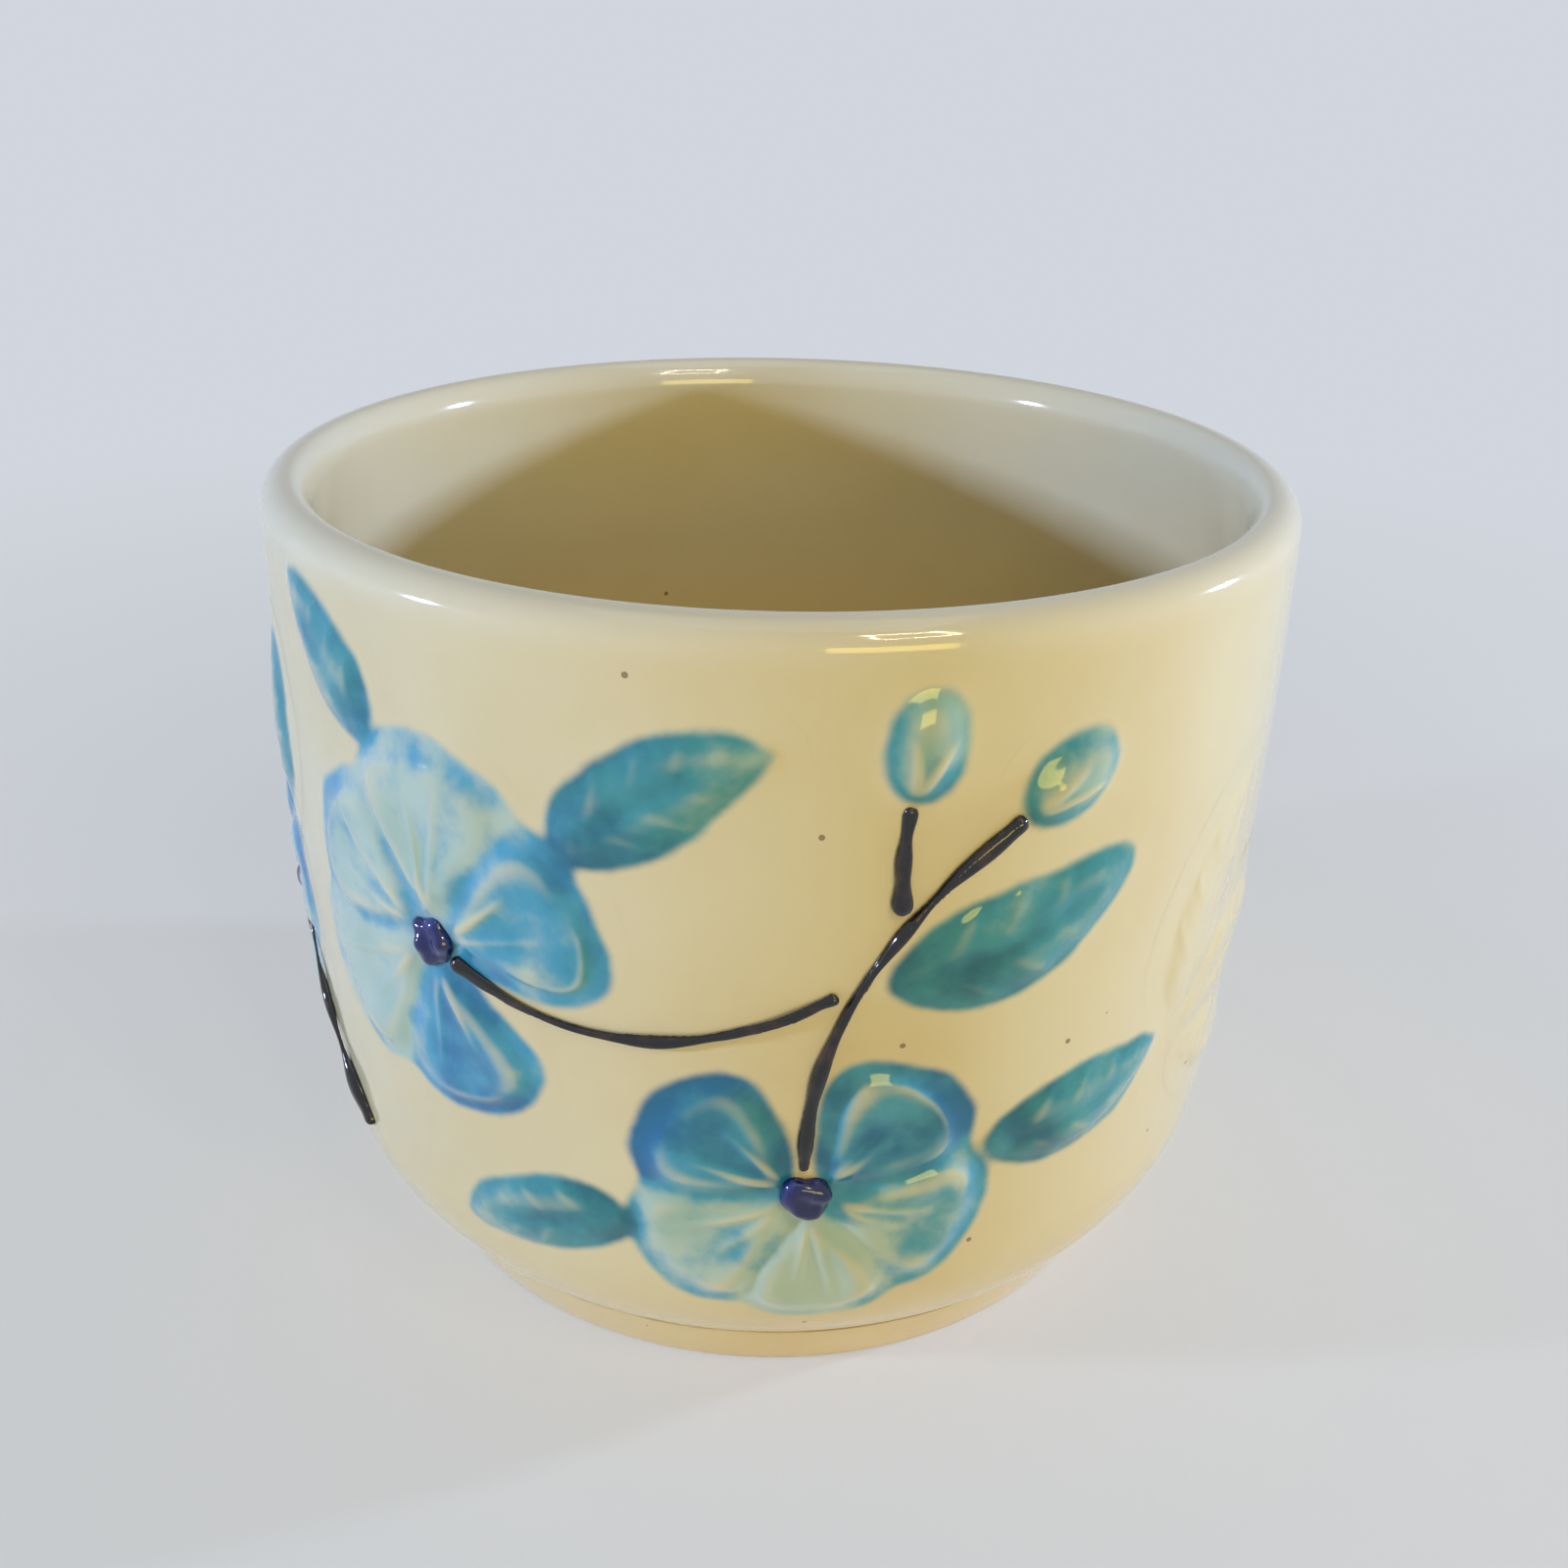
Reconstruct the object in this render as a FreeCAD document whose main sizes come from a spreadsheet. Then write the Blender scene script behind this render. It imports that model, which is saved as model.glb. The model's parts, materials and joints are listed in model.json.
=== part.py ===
"""Round table-top planter: a cast bowl on a tapered foot ring, with applied blossom relief on its wall.

Millimetres, +Z up.  The origin is on the pot's axis, in the plane that the foot stands on.
The front of the pot faces -Y.  Places on the wall are given as a turn about the axis from that
front, positive to the right, and a height.
"""
import FreeCAD, Part
import math
import os
import Sketcher

Vector = FreeCAD.Vector

doc = FreeCAD.newDocument("planter")

# Driving dimensions, one row each: alias, value, what it is
SIZES = [
    ("rim_radius", 67.5, "outer radius of the wall at the rim"),
    ("pot_height", 109.0, "height over all, foot to rim"),
    ("wall_thickness", 5.5, "thickness of the wall at the rim"),
    ("wall_bow_radius", 760.0, "radius of the wall's slight outward bow, seen in section"),
    ("shoulder_height", 26.0, "height where the wall turns in towards the foot"),
    ("shoulder_inset", 2.0, "how far the wall has drawn in from the rim at that height"),
    ("floor_thickness", 6.0, "thickness of the bowl's floor"),
    ("floor_corner_round", 13.0, "radius inside, where wall and floor meet"),
    ("lip_outer_share", 0.58, "rounding of the lip's outer edge, as a share of the wall"),
    ("lip_inner_share", 0.36, "rounding of the lip's inner edge, as a share of the wall"),
    ("foot_height", 9.0, "height of the foot ring"),
    ("foot_inset", 14.3, "how far the foot's base stands in from the rim"),
    ("foot_flare", 4.4, "how much wider the foot is at its top than at its base"),
    ("foot_ring_width", 7.0, "width of the ring that the pot stands on"),
    ("foot_edge_round", 1.0, "rounding of the foot's standing edges"),
    ("seam_round", 0.4, "rounding of the foot's upper edge, which leaves the seam line"),
    ("blossom_radius", 23.0, "centre to petal tip of the largest blossom"),
    ("centre_radius", 2.9, "radius of a blossom's centre dab"),
    ("centre_height", 2.0, "how far a centre dab stands out of the wall"),
    ("petal_height", 1.6, "how far a petal's rim stands out of the wall"),
    ("petal_gap", 0.6, "gap between neighbouring petals"),
    ("leaf_length", 34.0, "length of the longest leaf"),
    ("leaf_width", 12.5, "width of the longest leaf"),
    ("leaf_height", 1.3, "how far a leaf stands out of the wall"),
    ("plain_leaf_height", 0.8, "how far an unpainted leaf stands out of the wall"),
    ("stem_width", 2.6, "width of a trailed stem at its dabbed ends"),
    ("stem_height", 1.0, "how far a trailed stem stands out of the wall"),
    ("stem_clearance", 4.0, "bare wall between a blossom and a stem that passes it"),
    ("bud_length", 12.0, "length of a bud"),
    ("bud_width", 7.6, "width of a bud"),
    ("bud_height", 1.8, "how far a bud stands out of the wall"),
    ("relief_gap", 0.6, "gap between one piece of relief and the next"),
    ("relief_margin", 5.0, "bare wall left between the blossoms and the foot or the rim"),
    ("relief_edge", 0.2, "thickness of a piece of relief at its edge"),
    ("slip_film", 0.05, "film of slip between the wall and a piece of relief"),
]

sheet = doc.addObject("Spreadsheet::Sheet", "sizes")
for row, (alias, value, meaning) in enumerate(SIZES, start=1):
    sheet.set(f"A{row}", meaning)
    sheet.set(f"B{row}", str(value))
    sheet.setAlias(f"B{row}", alias)
doc.recompute()


def size(alias):
    """The value of one driving dimension."""
    return float(sheet.get(alias))


rim_radius = size("rim_radius")
pot_height = size("pot_height")
foot_height = size("foot_height")
relief_gap = size("relief_gap")
floor_height = foot_height + size("floor_thickness")
shoulder_radius = rim_radius - size("shoulder_inset")
foot_base_radius = rim_radius - size("foot_inset")
foot_top_radius = foot_base_radius + size("foot_flare")

pieces = []


# Sketch helpers

def new_body_sketch(body_name):
    """A new body with an empty sketch on its upright XZ plane."""
    body = doc.addObject("PartDesign::Body", body_name)
    body.Label = body_name
    sketch = body.newObject("Sketcher::SketchObject", body_name + "_profile")
    upright = next(plane for plane in body.Origin.OriginFeatures if plane.Role == "XZ_Plane")
    sketch.AttachmentSupport = [(upright, "")]
    sketch.MapMode = "FlatFace"
    return body, sketch


def point_at(sketch, line, end, across=None, up=None):
    """Fix one end of a sketch line at distances from the axis and the standing plane."""
    for kind, formula in (("DistanceX", across), ("DistanceY", up)):
        if formula is None:
            continue
        corner = sketch.getPoint(line, end)
        now = corner.x if kind == "DistanceX" else corner.y
        index = sketch.addConstraint(Sketcher.Constraint(kind, -1, 1, line, end, now))
        sketch.setExpression(f"Constraints[{index}]", formula)


def join(sketch, first, first_end, second, second_end):
    sketch.addConstraint(Sketcher.Constraint("Coincident", first, first_end, second, second_end))


def arc_between(lower, upper, radius):
    """An arc that bows away from the axis, from a lower point to an upper one."""
    chord = upper - lower
    to_centre = Vector(-chord.y, chord.x, 0).normalize()
    depth = math.sqrt(radius ** 2 - (chord.Length / 2) ** 2)
    centre = (lower + upper) * 0.5 + to_centre * depth
    start = math.atan2(lower.y - centre.y, lower.x - centre.x)
    end = math.atan2(upper.y - centre.y, upper.x - centre.x)
    return Part.ArcOfCircle(Part.Circle(centre, Vector(0, 0, 1), radius), start, end)


def tangent_arc(lower, upper, tangent):
    """An arc from a lower point to an upper one that arrives along the given direction."""
    chord = upper - lower
    turn = chord.getAngle(tangent)
    return arc_between(lower, upper, chord.Length / (2 * math.sin(turn)))


def revolve(body, sketch):
    """A full turn of the sketch about the pot's axis."""
    turned = body.newObject("PartDesign::Revolution", body.Name + "_turned")
    turned.Profile = sketch
    turned.ReferenceAxis = (sketch, ["V_Axis"])
    turned.Angle = 360
    doc.recompute()
    return turned


def round_edge(body, name, radius, height, formula):
    """Round the circular edge that lies at a radius and a height on the body's last feature."""
    base = body.Tip
    near = 1e-3
    found = [
        f"Edge{number}"
        for number, edge in enumerate(base.Shape.Edges, start=1)
        if isinstance(edge.Curve, Part.Circle)
        and abs(edge.Curve.Radius - radius) < near
        and abs(edge.Curve.Center.z - height) < near
    ]
    fillet = body.newObject("PartDesign::Fillet", name)
    fillet.Base = (base, found[:1])
    fillet.setExpression("Radius", formula)
    doc.recompute()


# Bowl: wall, shoulder, lip and floor in one turned profile

bowl, bowl_profile = new_body_sketch("bowl")
crease = Vector(foot_top_radius, foot_height, 0)
shoulder = Vector(shoulder_radius, size("shoulder_height"), 0)
rim_outside = Vector(rim_radius, pot_height, 0)
rim_inside = Vector(rim_radius - size("wall_thickness"), pot_height, 0)
outer_wall = arc_between(shoulder, rim_outside, size("wall_bow_radius"))
wall_centre = outer_wall.Center
spoke = shoulder - wall_centre
shoulder_turn = tangent_arc(crease, shoulder, Vector(-spoke.y, spoke.x, 0))
inner_radius = (rim_inside - wall_centre).Length
floor_depth = floor_height - wall_centre.y
floor_corner = Vector(wall_centre.x + math.sqrt(inner_radius ** 2 - floor_depth ** 2), floor_height, 0)
underside_middle = Vector(0, foot_height, 0)
floor_middle = Vector(0, floor_height, 0)

underside, shoulder_arc, wall_arc, rim_top, inner_wall, floor, axis_line = bowl_profile.addGeometry([
    Part.LineSegment(underside_middle, crease),
    shoulder_turn,
    outer_wall,
    Part.LineSegment(rim_outside, rim_inside),
    arc_between(floor_corner, rim_inside, inner_radius),
    Part.LineSegment(floor_corner, floor_middle),
    Part.LineSegment(floor_middle, underside_middle),
], False)
join(bowl_profile, underside, 2, shoulder_arc, 1)
bowl_profile.addConstraint(Sketcher.Constraint("Tangent", shoulder_arc, 2, wall_arc, 1))
join(bowl_profile, wall_arc, 2, rim_top, 1)
join(bowl_profile, rim_top, 2, inner_wall, 2)
join(bowl_profile, inner_wall, 3, wall_arc, 3)
join(bowl_profile, inner_wall, 1, floor, 1)
join(bowl_profile, floor, 2, axis_line, 1)
join(bowl_profile, axis_line, 2, underside, 1)
for level in (underside, rim_top, floor):
    bowl_profile.addConstraint(Sketcher.Constraint("Horizontal", level))
bowl_profile.addConstraint(Sketcher.Constraint("PointOnObject", underside, 1, -2))
bowl_profile.addConstraint(Sketcher.Constraint("PointOnObject", floor, 2, -2))
point_at(bowl_profile, underside, 2,
         "sizes.rim_radius - sizes.foot_inset + sizes.foot_flare", "sizes.foot_height")
point_at(bowl_profile, wall_arc, 1, "sizes.rim_radius - sizes.shoulder_inset", "sizes.shoulder_height")
point_at(bowl_profile, rim_top, 1, "sizes.rim_radius", "sizes.pot_height")
point_at(bowl_profile, rim_top, 2, "sizes.rim_radius - sizes.wall_thickness")
point_at(bowl_profile, inner_wall, 1, up="sizes.foot_height + sizes.floor_thickness")
bow = bowl_profile.addConstraint(Sketcher.Constraint("Radius", wall_arc, size("wall_bow_radius")))
bowl_profile.setExpression(f"Constraints[{bow}]", "sizes.wall_bow_radius")
doc.recompute()
revolve(bowl, bowl_profile)
round_edge(bowl, "lip_outside", rim_radius, pot_height, "sizes.wall_thickness * sizes.lip_outer_share")
round_edge(bowl, "lip_inside", rim_inside.x, pot_height, "sizes.wall_thickness * sizes.lip_inner_share")
round_edge(bowl, "floor_corner", floor_corner.x, floor_height, "sizes.floor_corner_round")
pieces.append(bowl)


# Foot ring: a tapered ring under the floor, open in the middle

foot, foot_profile = new_body_sketch("foot_ring")
foot_inner_radius = foot_base_radius - size("foot_ring_width")
corners = [
    Vector(foot_base_radius, 0, 0),
    Vector(foot_top_radius, foot_height, 0),
    Vector(foot_inner_radius, foot_height, 0),
    Vector(foot_inner_radius, 0, 0),
]
sides = foot_profile.addGeometry(
    [Part.LineSegment(corner, corners[(i + 1) % len(corners)]) for i, corner in enumerate(corners)], False)
for side, following in zip(sides, sides[1:] + sides[:1]):
    join(foot_profile, side, 2, following, 1)
flank, top_side, bore_side, base_side = sides
for level in (top_side, base_side):
    foot_profile.addConstraint(Sketcher.Constraint("Horizontal", level))
foot_profile.addConstraint(Sketcher.Constraint("Vertical", bore_side))
foot_profile.addConstraint(Sketcher.Constraint("PointOnObject", flank, 1, -1))
base_formula = "sizes.rim_radius - sizes.foot_inset"
point_at(foot_profile, flank, 1, base_formula)
point_at(foot_profile, flank, 2, base_formula + " + sizes.foot_flare", "sizes.foot_height")
point_at(foot_profile, base_side, 1, base_formula + " - sizes.foot_ring_width")
doc.recompute()
revolve(foot, foot_profile)
round_edge(foot, "standing_edge_outside", foot_base_radius, 0, "sizes.foot_edge_round")
round_edge(foot, "standing_edge_inside", foot_inner_radius, 0, "sizes.foot_edge_round")
round_edge(foot, "seam_edge", foot_top_radius, foot_height, "sizes.seam_round")
pieces.append(foot)


# The wall as a place to put relief: flat coordinates are millimetres round the wall from the
# front, and a height; the wall's own two arcs say how far out that point lies

WALL_ARCS = (bowl_profile.Geometry[shoulder_arc], bowl_profile.Geometry[wall_arc])


def wall_point(flat, lift=0.0):
    """A point in space over a flat place on the wall, lifted along the wall's own normal."""
    arc = WALL_ARCS[0] if flat.y < size("shoulder_height") else WALL_ARCS[1]
    rise = flat.y - arc.Center.y
    run = math.sqrt(arc.Radius ** 2 - rise ** 2)
    reach = 1 + lift / arc.Radius
    radius = arc.Center.x + run * reach
    turn = flat.x / rim_radius
    return Vector(radius * math.sin(turn), -radius * math.cos(turn), arc.Center.y + rise * reach)


def wall_normal(flat):
    return (wall_point(flat, rim_radius) - wall_point(flat)).normalize()


def flat_direction(degrees):
    """A unit step on the flat wall: 0 is to the right, 90 is up."""
    return Vector(math.cos(math.radians(degrees)), math.sin(math.radians(degrees)), 0)


def bearing(step):
    """The direction of a step on the flat wall, in degrees."""
    return math.degrees(math.atan2(step.y, step.x))


def chord_share(bend):
    """The chord of an arc that turns by an angle, as a share of the arc's length."""
    half = math.radians(bend) / 2
    return math.sin(half) / half if half else 1.0


class Course:
    """A line drawn on the flat wall: one arc from a start, turning evenly along its length."""

    def __init__(self, start, heading, length, bend):
        self.start = start
        self.heading = heading
        self.length = length
        self.bend = bend

    @classmethod
    def between(cls, start, finish, bend):
        """The arc from one place to another that turns by a given angle on the way."""
        chord = finish - start
        return cls(start, bearing(chord) - bend / 2, chord.Length / chord_share(bend), bend)

    def heading_at(self, share):
        return self.heading + self.bend * share

    def place(self, share):
        turned = self.bend * share
        chord = self.length * share * chord_share(turned)
        return self.start + flat_direction(self.heading + turned / 2) * chord

    def beside(self, share, offset):
        """A place to the left of the line, or to its right if the offset is negative."""
        return self.place(share) + flat_direction(self.heading_at(share) + 90) * offset


# Relief: each piece is a loft through sections that stand across a course, all but closed at
# its two ends; its underside follows the wall, a film of slip away from it

STATIONS = 13
END_ANGLE = 5
LEAF_BASE_SHARE = 0.25
STEM_THINNING_SHARE = 0.42
STEM_WAVER_SHARE = 0.12
STEM_WAVES = 5


class Section:
    """The form across a piece of relief: places across it and heights there, both as shares.

    The hollow is a dip along the middle, the lean raises one edge and lowers the other, and the
    taper says how early the piece closes towards its ends: 1 evenly, less than 1 bluntly.
    """

    def __init__(self, across_shares, height_shares, hollow_share=0.0, lean_share=0.0, taper=1.0):
        self.across_shares = across_shares
        self.height_shares = height_shares
        self.hollow_share = hollow_share
        self.lean_share = lean_share
        self.taper = taper

    def height_shares_at(self, swell):
        """Heights across the piece, with the hollow deepest where the piece swells most."""
        heights = []
        for across, height in zip(self.across_shares, self.height_shares):
            dip = max(0.0, 1 - across ** 2 / HOLLOW_REACH_SHARE ** 2)
            leaning = height * (1 + self.lean_share * across)
            heights.append(leaning * swell * (1 - self.hollow_share * dip * swell ** 2))
        return heights


HOLLOW_REACH_SHARE = 0.72
CUPPED = Section((-1, -0.9, -0.7, -0.36, 0, 0.36, 0.7, 0.9, 1), (0, 0.66, 1, 1, 1, 1, 1, 0.66, 0), 0.6, 0.2)
VEINED = Section((-1, -0.8, -0.5, -0.16, 0, 0.16, 0.5, 0.8, 1), (0, 0.55, 0.95, 1, 0.6, 1, 0.95, 0.55, 0))
BEAD = Section((-1, -0.75, 0, 0.75, 1), (0, 0.7, 1, 0.7, 0), taper=0.35)


def curve_through(places, section):
    curve = Part.BSplineCurve()
    curve.interpolate(Points=places, Parameters=section.across_shares)
    return curve.toShape()


def relief(name, course, half_width, height, section, pointed_share):
    """Loft one piece of relief.  half_width gives the width to each side at a share of the length."""
    film = size("slip_film")
    edge = film + size("relief_edge")
    profiles = []
    for station in range(STATIONS):
        angle = math.radians(END_ANGLE + (180 - 2 * END_ANGLE) * station / (STATIONS - 1))
        swell = math.sin(angle) ** section.taper
        share = pointed_share * angle / math.pi + (1 - pointed_share) * (1 - math.cos(angle)) / 2
        reach = half_width(share) * swell
        seat = [course.beside(share, across * reach) for across in section.across_shares]
        rises = section.height_shares_at(swell)
        crest = [wall_point(place, edge + (height - edge) * rise) for place, rise in zip(seat, rises)]
        underside = [wall_point(place, film) for place in seat]
        middle = wall_point(course.place(share))
        facing = wall_normal(course.place(share)).cross(underside[-1] - underside[0]).normalize()
        for corner in crest + underside:
            corner.projectToPlane(middle, facing)
        profiles.append(Part.Wire([
            curve_through(crest, section),
            Part.makeLine(crest[-1], underside[-1]),
            curve_through(underside, section),
            Part.makeLine(underside[0], crest[0]),
        ]))
    piece = doc.addObject("Part::Feature", name)
    piece.Label = name
    piece.Shape = Part.makeLoft(profiles, True)
    pieces.append(piece)


def leaf(name, start, heading, bend, scale_share, height_alias="leaf_height"):
    """A leaf that is widest a little nearer its base than its tip."""
    course = Course(start, heading, size("leaf_length") * scale_share, bend)
    half = size("leaf_width") / 2 * scale_share

    def half_width(share):
        return half * (1 + LEAF_BASE_SHARE * (1 - 2 * share))

    relief(name, course, half_width, size(height_alias), VEINED, 0.75)


def stem(name, course):
    """A bead of slip, trailed thin along its run, a little unevenly, and dabbed at both ends."""
    half = size("stem_width") / 2

    def half_width(share):
        thinning = STEM_THINNING_SHARE * math.sin(math.pi * share)
        return half * (1 - thinning) * (1 + STEM_WAVER_SHARE * math.sin(STEM_WAVES * math.pi * share))

    relief(name, course, half_width, size("stem_height"), BEAD, 0.3)


def dab(name, place, turn, long_radius, cross_radius, height_alias):
    """A dab of slip: an ellipsoid half sunk in the wall, turned to lie along a direction."""
    blank = doc.addObject("Part::Ellipsoid", name + "_blank")
    blank.setExpression("Radius1", f"sizes.{height_alias}")
    blank.setExpression("Radius2", long_radius)
    blank.setExpression("Radius3", cross_radius)
    blank.Angle1 = -90
    normal = wall_normal(place)
    along = (wall_point(place + flat_direction(turn)) - wall_point(place)).normalize()
    blank.Placement = FreeCAD.Placement(
        wall_point(place), FreeCAD.Rotation(along, normal.cross(along), normal, "ZXY"))
    trimmed = doc.addObject("Part::Cut", name)
    trimmed.Label = name
    trimmed.Base = blank
    trimmed.Tool = bowl
    pieces.append(trimmed)


# Blossoms: five broad petals, and a narrow open sector that the stem comes in through

STEM_SECTOR = 38
PETAL_LENGTH_SHARES = (0.95, 1.0, 0.92, 1.0, 0.94)
SECTOR = (360 - STEM_SECTOR) / len(PETAL_LENGTH_SHARES)


class Blossom:
    def __init__(self, name, turn, height_share, scale_share):
        lowest = foot_height + size("relief_margin") + size("blossom_radius")
        highest = pot_height - size("wall_thickness") - size("relief_margin") - size("blossom_radius")
        self.name = name
        self.radius = size("blossom_radius") * scale_share
        self.centre = Vector(math.radians(turn) * rim_radius, lowest + (highest - lowest) * height_share, 0)

    def edge(self, direction, distance):
        return self.centre + flat_direction(direction) * distance

    def outside(self, direction):
        """Where a leaf can start, just beyond the petals."""
        return self.edge(direction, self.radius + relief_gap)

    def stem_to(self, finish, bend):
        """The course of the blossom's stem, from its centre dab to another place."""
        self.slot = bearing(finish - self.centre) - bend / 2
        start = self.edge(self.slot, size("centre_radius") + relief_gap)
        return Course.between(start, finish, bend)

    def build(self):
        inner = size("centre_radius") + relief_gap
        spread = math.tan(math.radians(SECTOR / 2))
        for number, length_share in enumerate(PETAL_LENGTH_SHARES, start=1):
            direction = self.slot + STEM_SECTOR / 2 + SECTOR * (number - 0.5)
            length = self.radius * length_share - inner
            course = Course(self.edge(direction, inner), direction, length, 0)

            def half_width(share):
                return (inner + length * share) * spread - size("petal_gap") / 2

            relief(f"{self.name}_petal_{number}", course, half_width, size("petal_height"), CUPPED, 0)
        dab(f"{self.name}_centre", self.centre, self.slot, "sizes.centre_radius", "sizes.centre_radius",
            "centre_height")


upper_blossom = Blossom("upper_blossom", -35, 0.74, 1.0)
lower_blossom = Blossom("lower_blossom", 4, 0.04, 0.9)
side_blossom = Blossom("side_blossom", -80, 0.34, 0.82)

# Stems: the main one rises from the lower blossom to the bud, and the others meet it or end free

MEETING_ANGLE = 34

stem_side = size("stem_width") / 2 + relief_gap
bud_place = Vector(math.radians(23) * rim_radius, pot_height * 0.79, 0)
main_course = lower_blossom.stem_to(bud_place, -62)
joint_share = (lower_blossom.radius + size("stem_clearance")) / main_course.length
joint_place = main_course.beside(joint_share, stem_side)
arrival = main_course.heading_at(joint_share) - MEETING_ANGLE
upper_course = upper_blossom.stem_to(joint_place, 2 * (arrival - bearing(joint_place - upper_blossom.centre)))
free_end = Vector(math.radians(-54) * rim_radius, pot_height * 0.24, 0)
side_course = side_blossom.stem_to(free_end, -28)
twig_start = main_course.beside(0.7, stem_side)
twig_course = Course(twig_start, main_course.heading_at(0.7) + 48, size("bud_length"), -18)

for blossom in (upper_blossom, lower_blossom, side_blossom):
    blossom.build()
stem("main_stem", main_course)
stem("upper_stem", upper_course)
stem("side_stem", side_course)
stem("twig", twig_course)

# Buds at the ends of the main stem and the twig

for name, course in (("main_bud", main_course), ("twig_bud", twig_course)):
    heading = course.heading_at(1)
    place = course.place(1) + flat_direction(heading) * (size("bud_length") / 2 + relief_gap)
    dab(name, place, heading, "sizes.bud_length / 2", "sizes.bud_width / 2", "bud_height")

# Painted leaves, each with a heading, a bend and a size as a share of the longest leaf

leaf("main_leaf", main_course.beside(0.52, -stem_side), 8, 26, 1.0)
leaf("lower_right_leaf", lower_blossom.outside(12), -2, 30, 0.86)
leaf("lower_left_leaf", lower_blossom.outside(196), 186, 22, 0.8)
leaf("upper_right_leaf", upper_blossom.outside(40), 52, -40, 0.84)
leaf("upper_left_leaf", upper_blossom.outside(112), 122, 24, 0.7)
leaf("side_leaf", side_blossom.outside(58), 66, 26, 0.8)

# A spray of lower, unpainted leaves to the right of the painted ones

spray_root = Vector(math.radians(47) * rim_radius, pot_height * 0.4, 0)
for number, (heading, scale_share) in enumerate(((78, 1.0), (34, 0.9), (-10, 0.74)), start=1):
    start = spray_root + flat_direction(heading) * size("leaf_width") / 2
    leaf(f"plain_leaf_{number}", start, heading, -24, scale_share, "plain_leaf_height")

# Check every object, then write one file for each piece

doc.recompute()
faulty = [thing.Name for thing in doc.Objects if {"Invalid", "Error"} & set(thing.State)]
faulty += [piece.Label for piece in pieces if piece.Shape.isNull() or not piece.Shape.isValid()]
faulty += [piece.Label for piece in pieces if len(piece.Shape.Solids) != 1]
if faulty:
    raise RuntimeError(f"these did not build: {faulty}")

os.makedirs("parts", exist_ok=True)
for piece in pieces:
    piece.Shape.exportStep(f"parts/{piece.Label}.step")
    print(f"{piece.Label:24s} {piece.Shape.Volume:10.1f} mm3")
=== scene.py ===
# %% [markdown]
# # A glazed planter with painted relief
# The construction of this pot arrives as a fixed frame: a bowl, a foot ring and the relief that was
# laid on the wall, each in its own node.  This lesson gives the frame its looks, piece by piece.
# Everything is in metres, in the frame's own axes: +Z is up and the front of the pot faces -Y.

# %% The frame
import json
import math

import bpy
import numpy as np
from mathutils import Matrix, Vector
from mathutils.bvhtree import BVHTree

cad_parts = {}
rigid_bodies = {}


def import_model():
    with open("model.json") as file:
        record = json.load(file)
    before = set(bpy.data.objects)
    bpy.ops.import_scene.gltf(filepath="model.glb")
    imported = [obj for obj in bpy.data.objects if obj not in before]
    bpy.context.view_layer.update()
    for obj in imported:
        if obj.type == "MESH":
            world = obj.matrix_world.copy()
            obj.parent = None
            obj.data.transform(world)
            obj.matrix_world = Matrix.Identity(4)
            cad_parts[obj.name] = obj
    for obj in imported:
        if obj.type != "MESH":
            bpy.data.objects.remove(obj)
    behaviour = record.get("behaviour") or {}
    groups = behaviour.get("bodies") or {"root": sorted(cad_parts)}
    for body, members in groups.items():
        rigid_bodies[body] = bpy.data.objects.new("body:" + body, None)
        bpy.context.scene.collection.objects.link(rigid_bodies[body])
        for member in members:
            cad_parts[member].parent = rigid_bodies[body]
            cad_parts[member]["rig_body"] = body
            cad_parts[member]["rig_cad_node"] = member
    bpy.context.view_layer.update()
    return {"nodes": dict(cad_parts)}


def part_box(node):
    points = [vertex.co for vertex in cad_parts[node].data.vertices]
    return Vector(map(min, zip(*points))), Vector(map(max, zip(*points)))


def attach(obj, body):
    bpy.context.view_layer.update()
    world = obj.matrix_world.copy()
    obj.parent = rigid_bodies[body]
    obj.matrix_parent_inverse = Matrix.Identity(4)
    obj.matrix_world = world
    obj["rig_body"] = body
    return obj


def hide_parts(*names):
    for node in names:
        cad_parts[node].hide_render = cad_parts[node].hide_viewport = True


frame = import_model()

scene = bpy.context.scene
scene.view_settings.view_transform = "Standard"
print("nodes in the frame:", len(frame["nodes"]))

# %% [markdown]
# ## The section of the pot
# A cast pot is a solid of revolution, so one half section says all about its form: a nearly straight
# wall with a slight bow, a shoulder that turns in to a crease above the foot, a rounded lip that
# swells a little inwards, and a floor with a wide corner.  The heights are measured on the frame.  The
# rest are the pot's own named sizes, and the arcs that join them are worked out here, so that the wall
# can be used as a surface to lay things on later.

# %% Sizes of the section
bowl_low, bowl_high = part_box("bowl")
pot_height = bowl_high.z
foot_height = bowl_low.z

RIM_RADIUS = 0.06749
WALL_THICKNESS = 0.0055
WALL_BOW_RADIUS = 0.760
SHOULDER_HEIGHT = 0.026
SHOULDER_INSET = 0.002
FLOOR_THICKNESS = 0.006
FLOOR_CORNER_ROUND = 0.013
LIP_OUTER_SHARE = 0.64
LIP_INNER_DROP = 0.0046
LIP_THICKNESS = 0.0062
LIP_SWELL_DROP = 0.024
FOOT_INSET = 0.0143
FOOT_FLARE = 0.0044
FOOT_RING_WIDTH = 0.007
FOOT_EDGE_ROUND = 0.001
SEAM_ROUND = 0.0004

foot_base_radius = RIM_RADIUS - FOOT_INSET
foot_top_radius = foot_base_radius + FOOT_FLARE
floor_height = foot_height + FLOOR_THICKNESS
print(f"rim radius {RIM_RADIUS:.4f}, height {pot_height:.4f}, foot {foot_height:.4f}")


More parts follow.
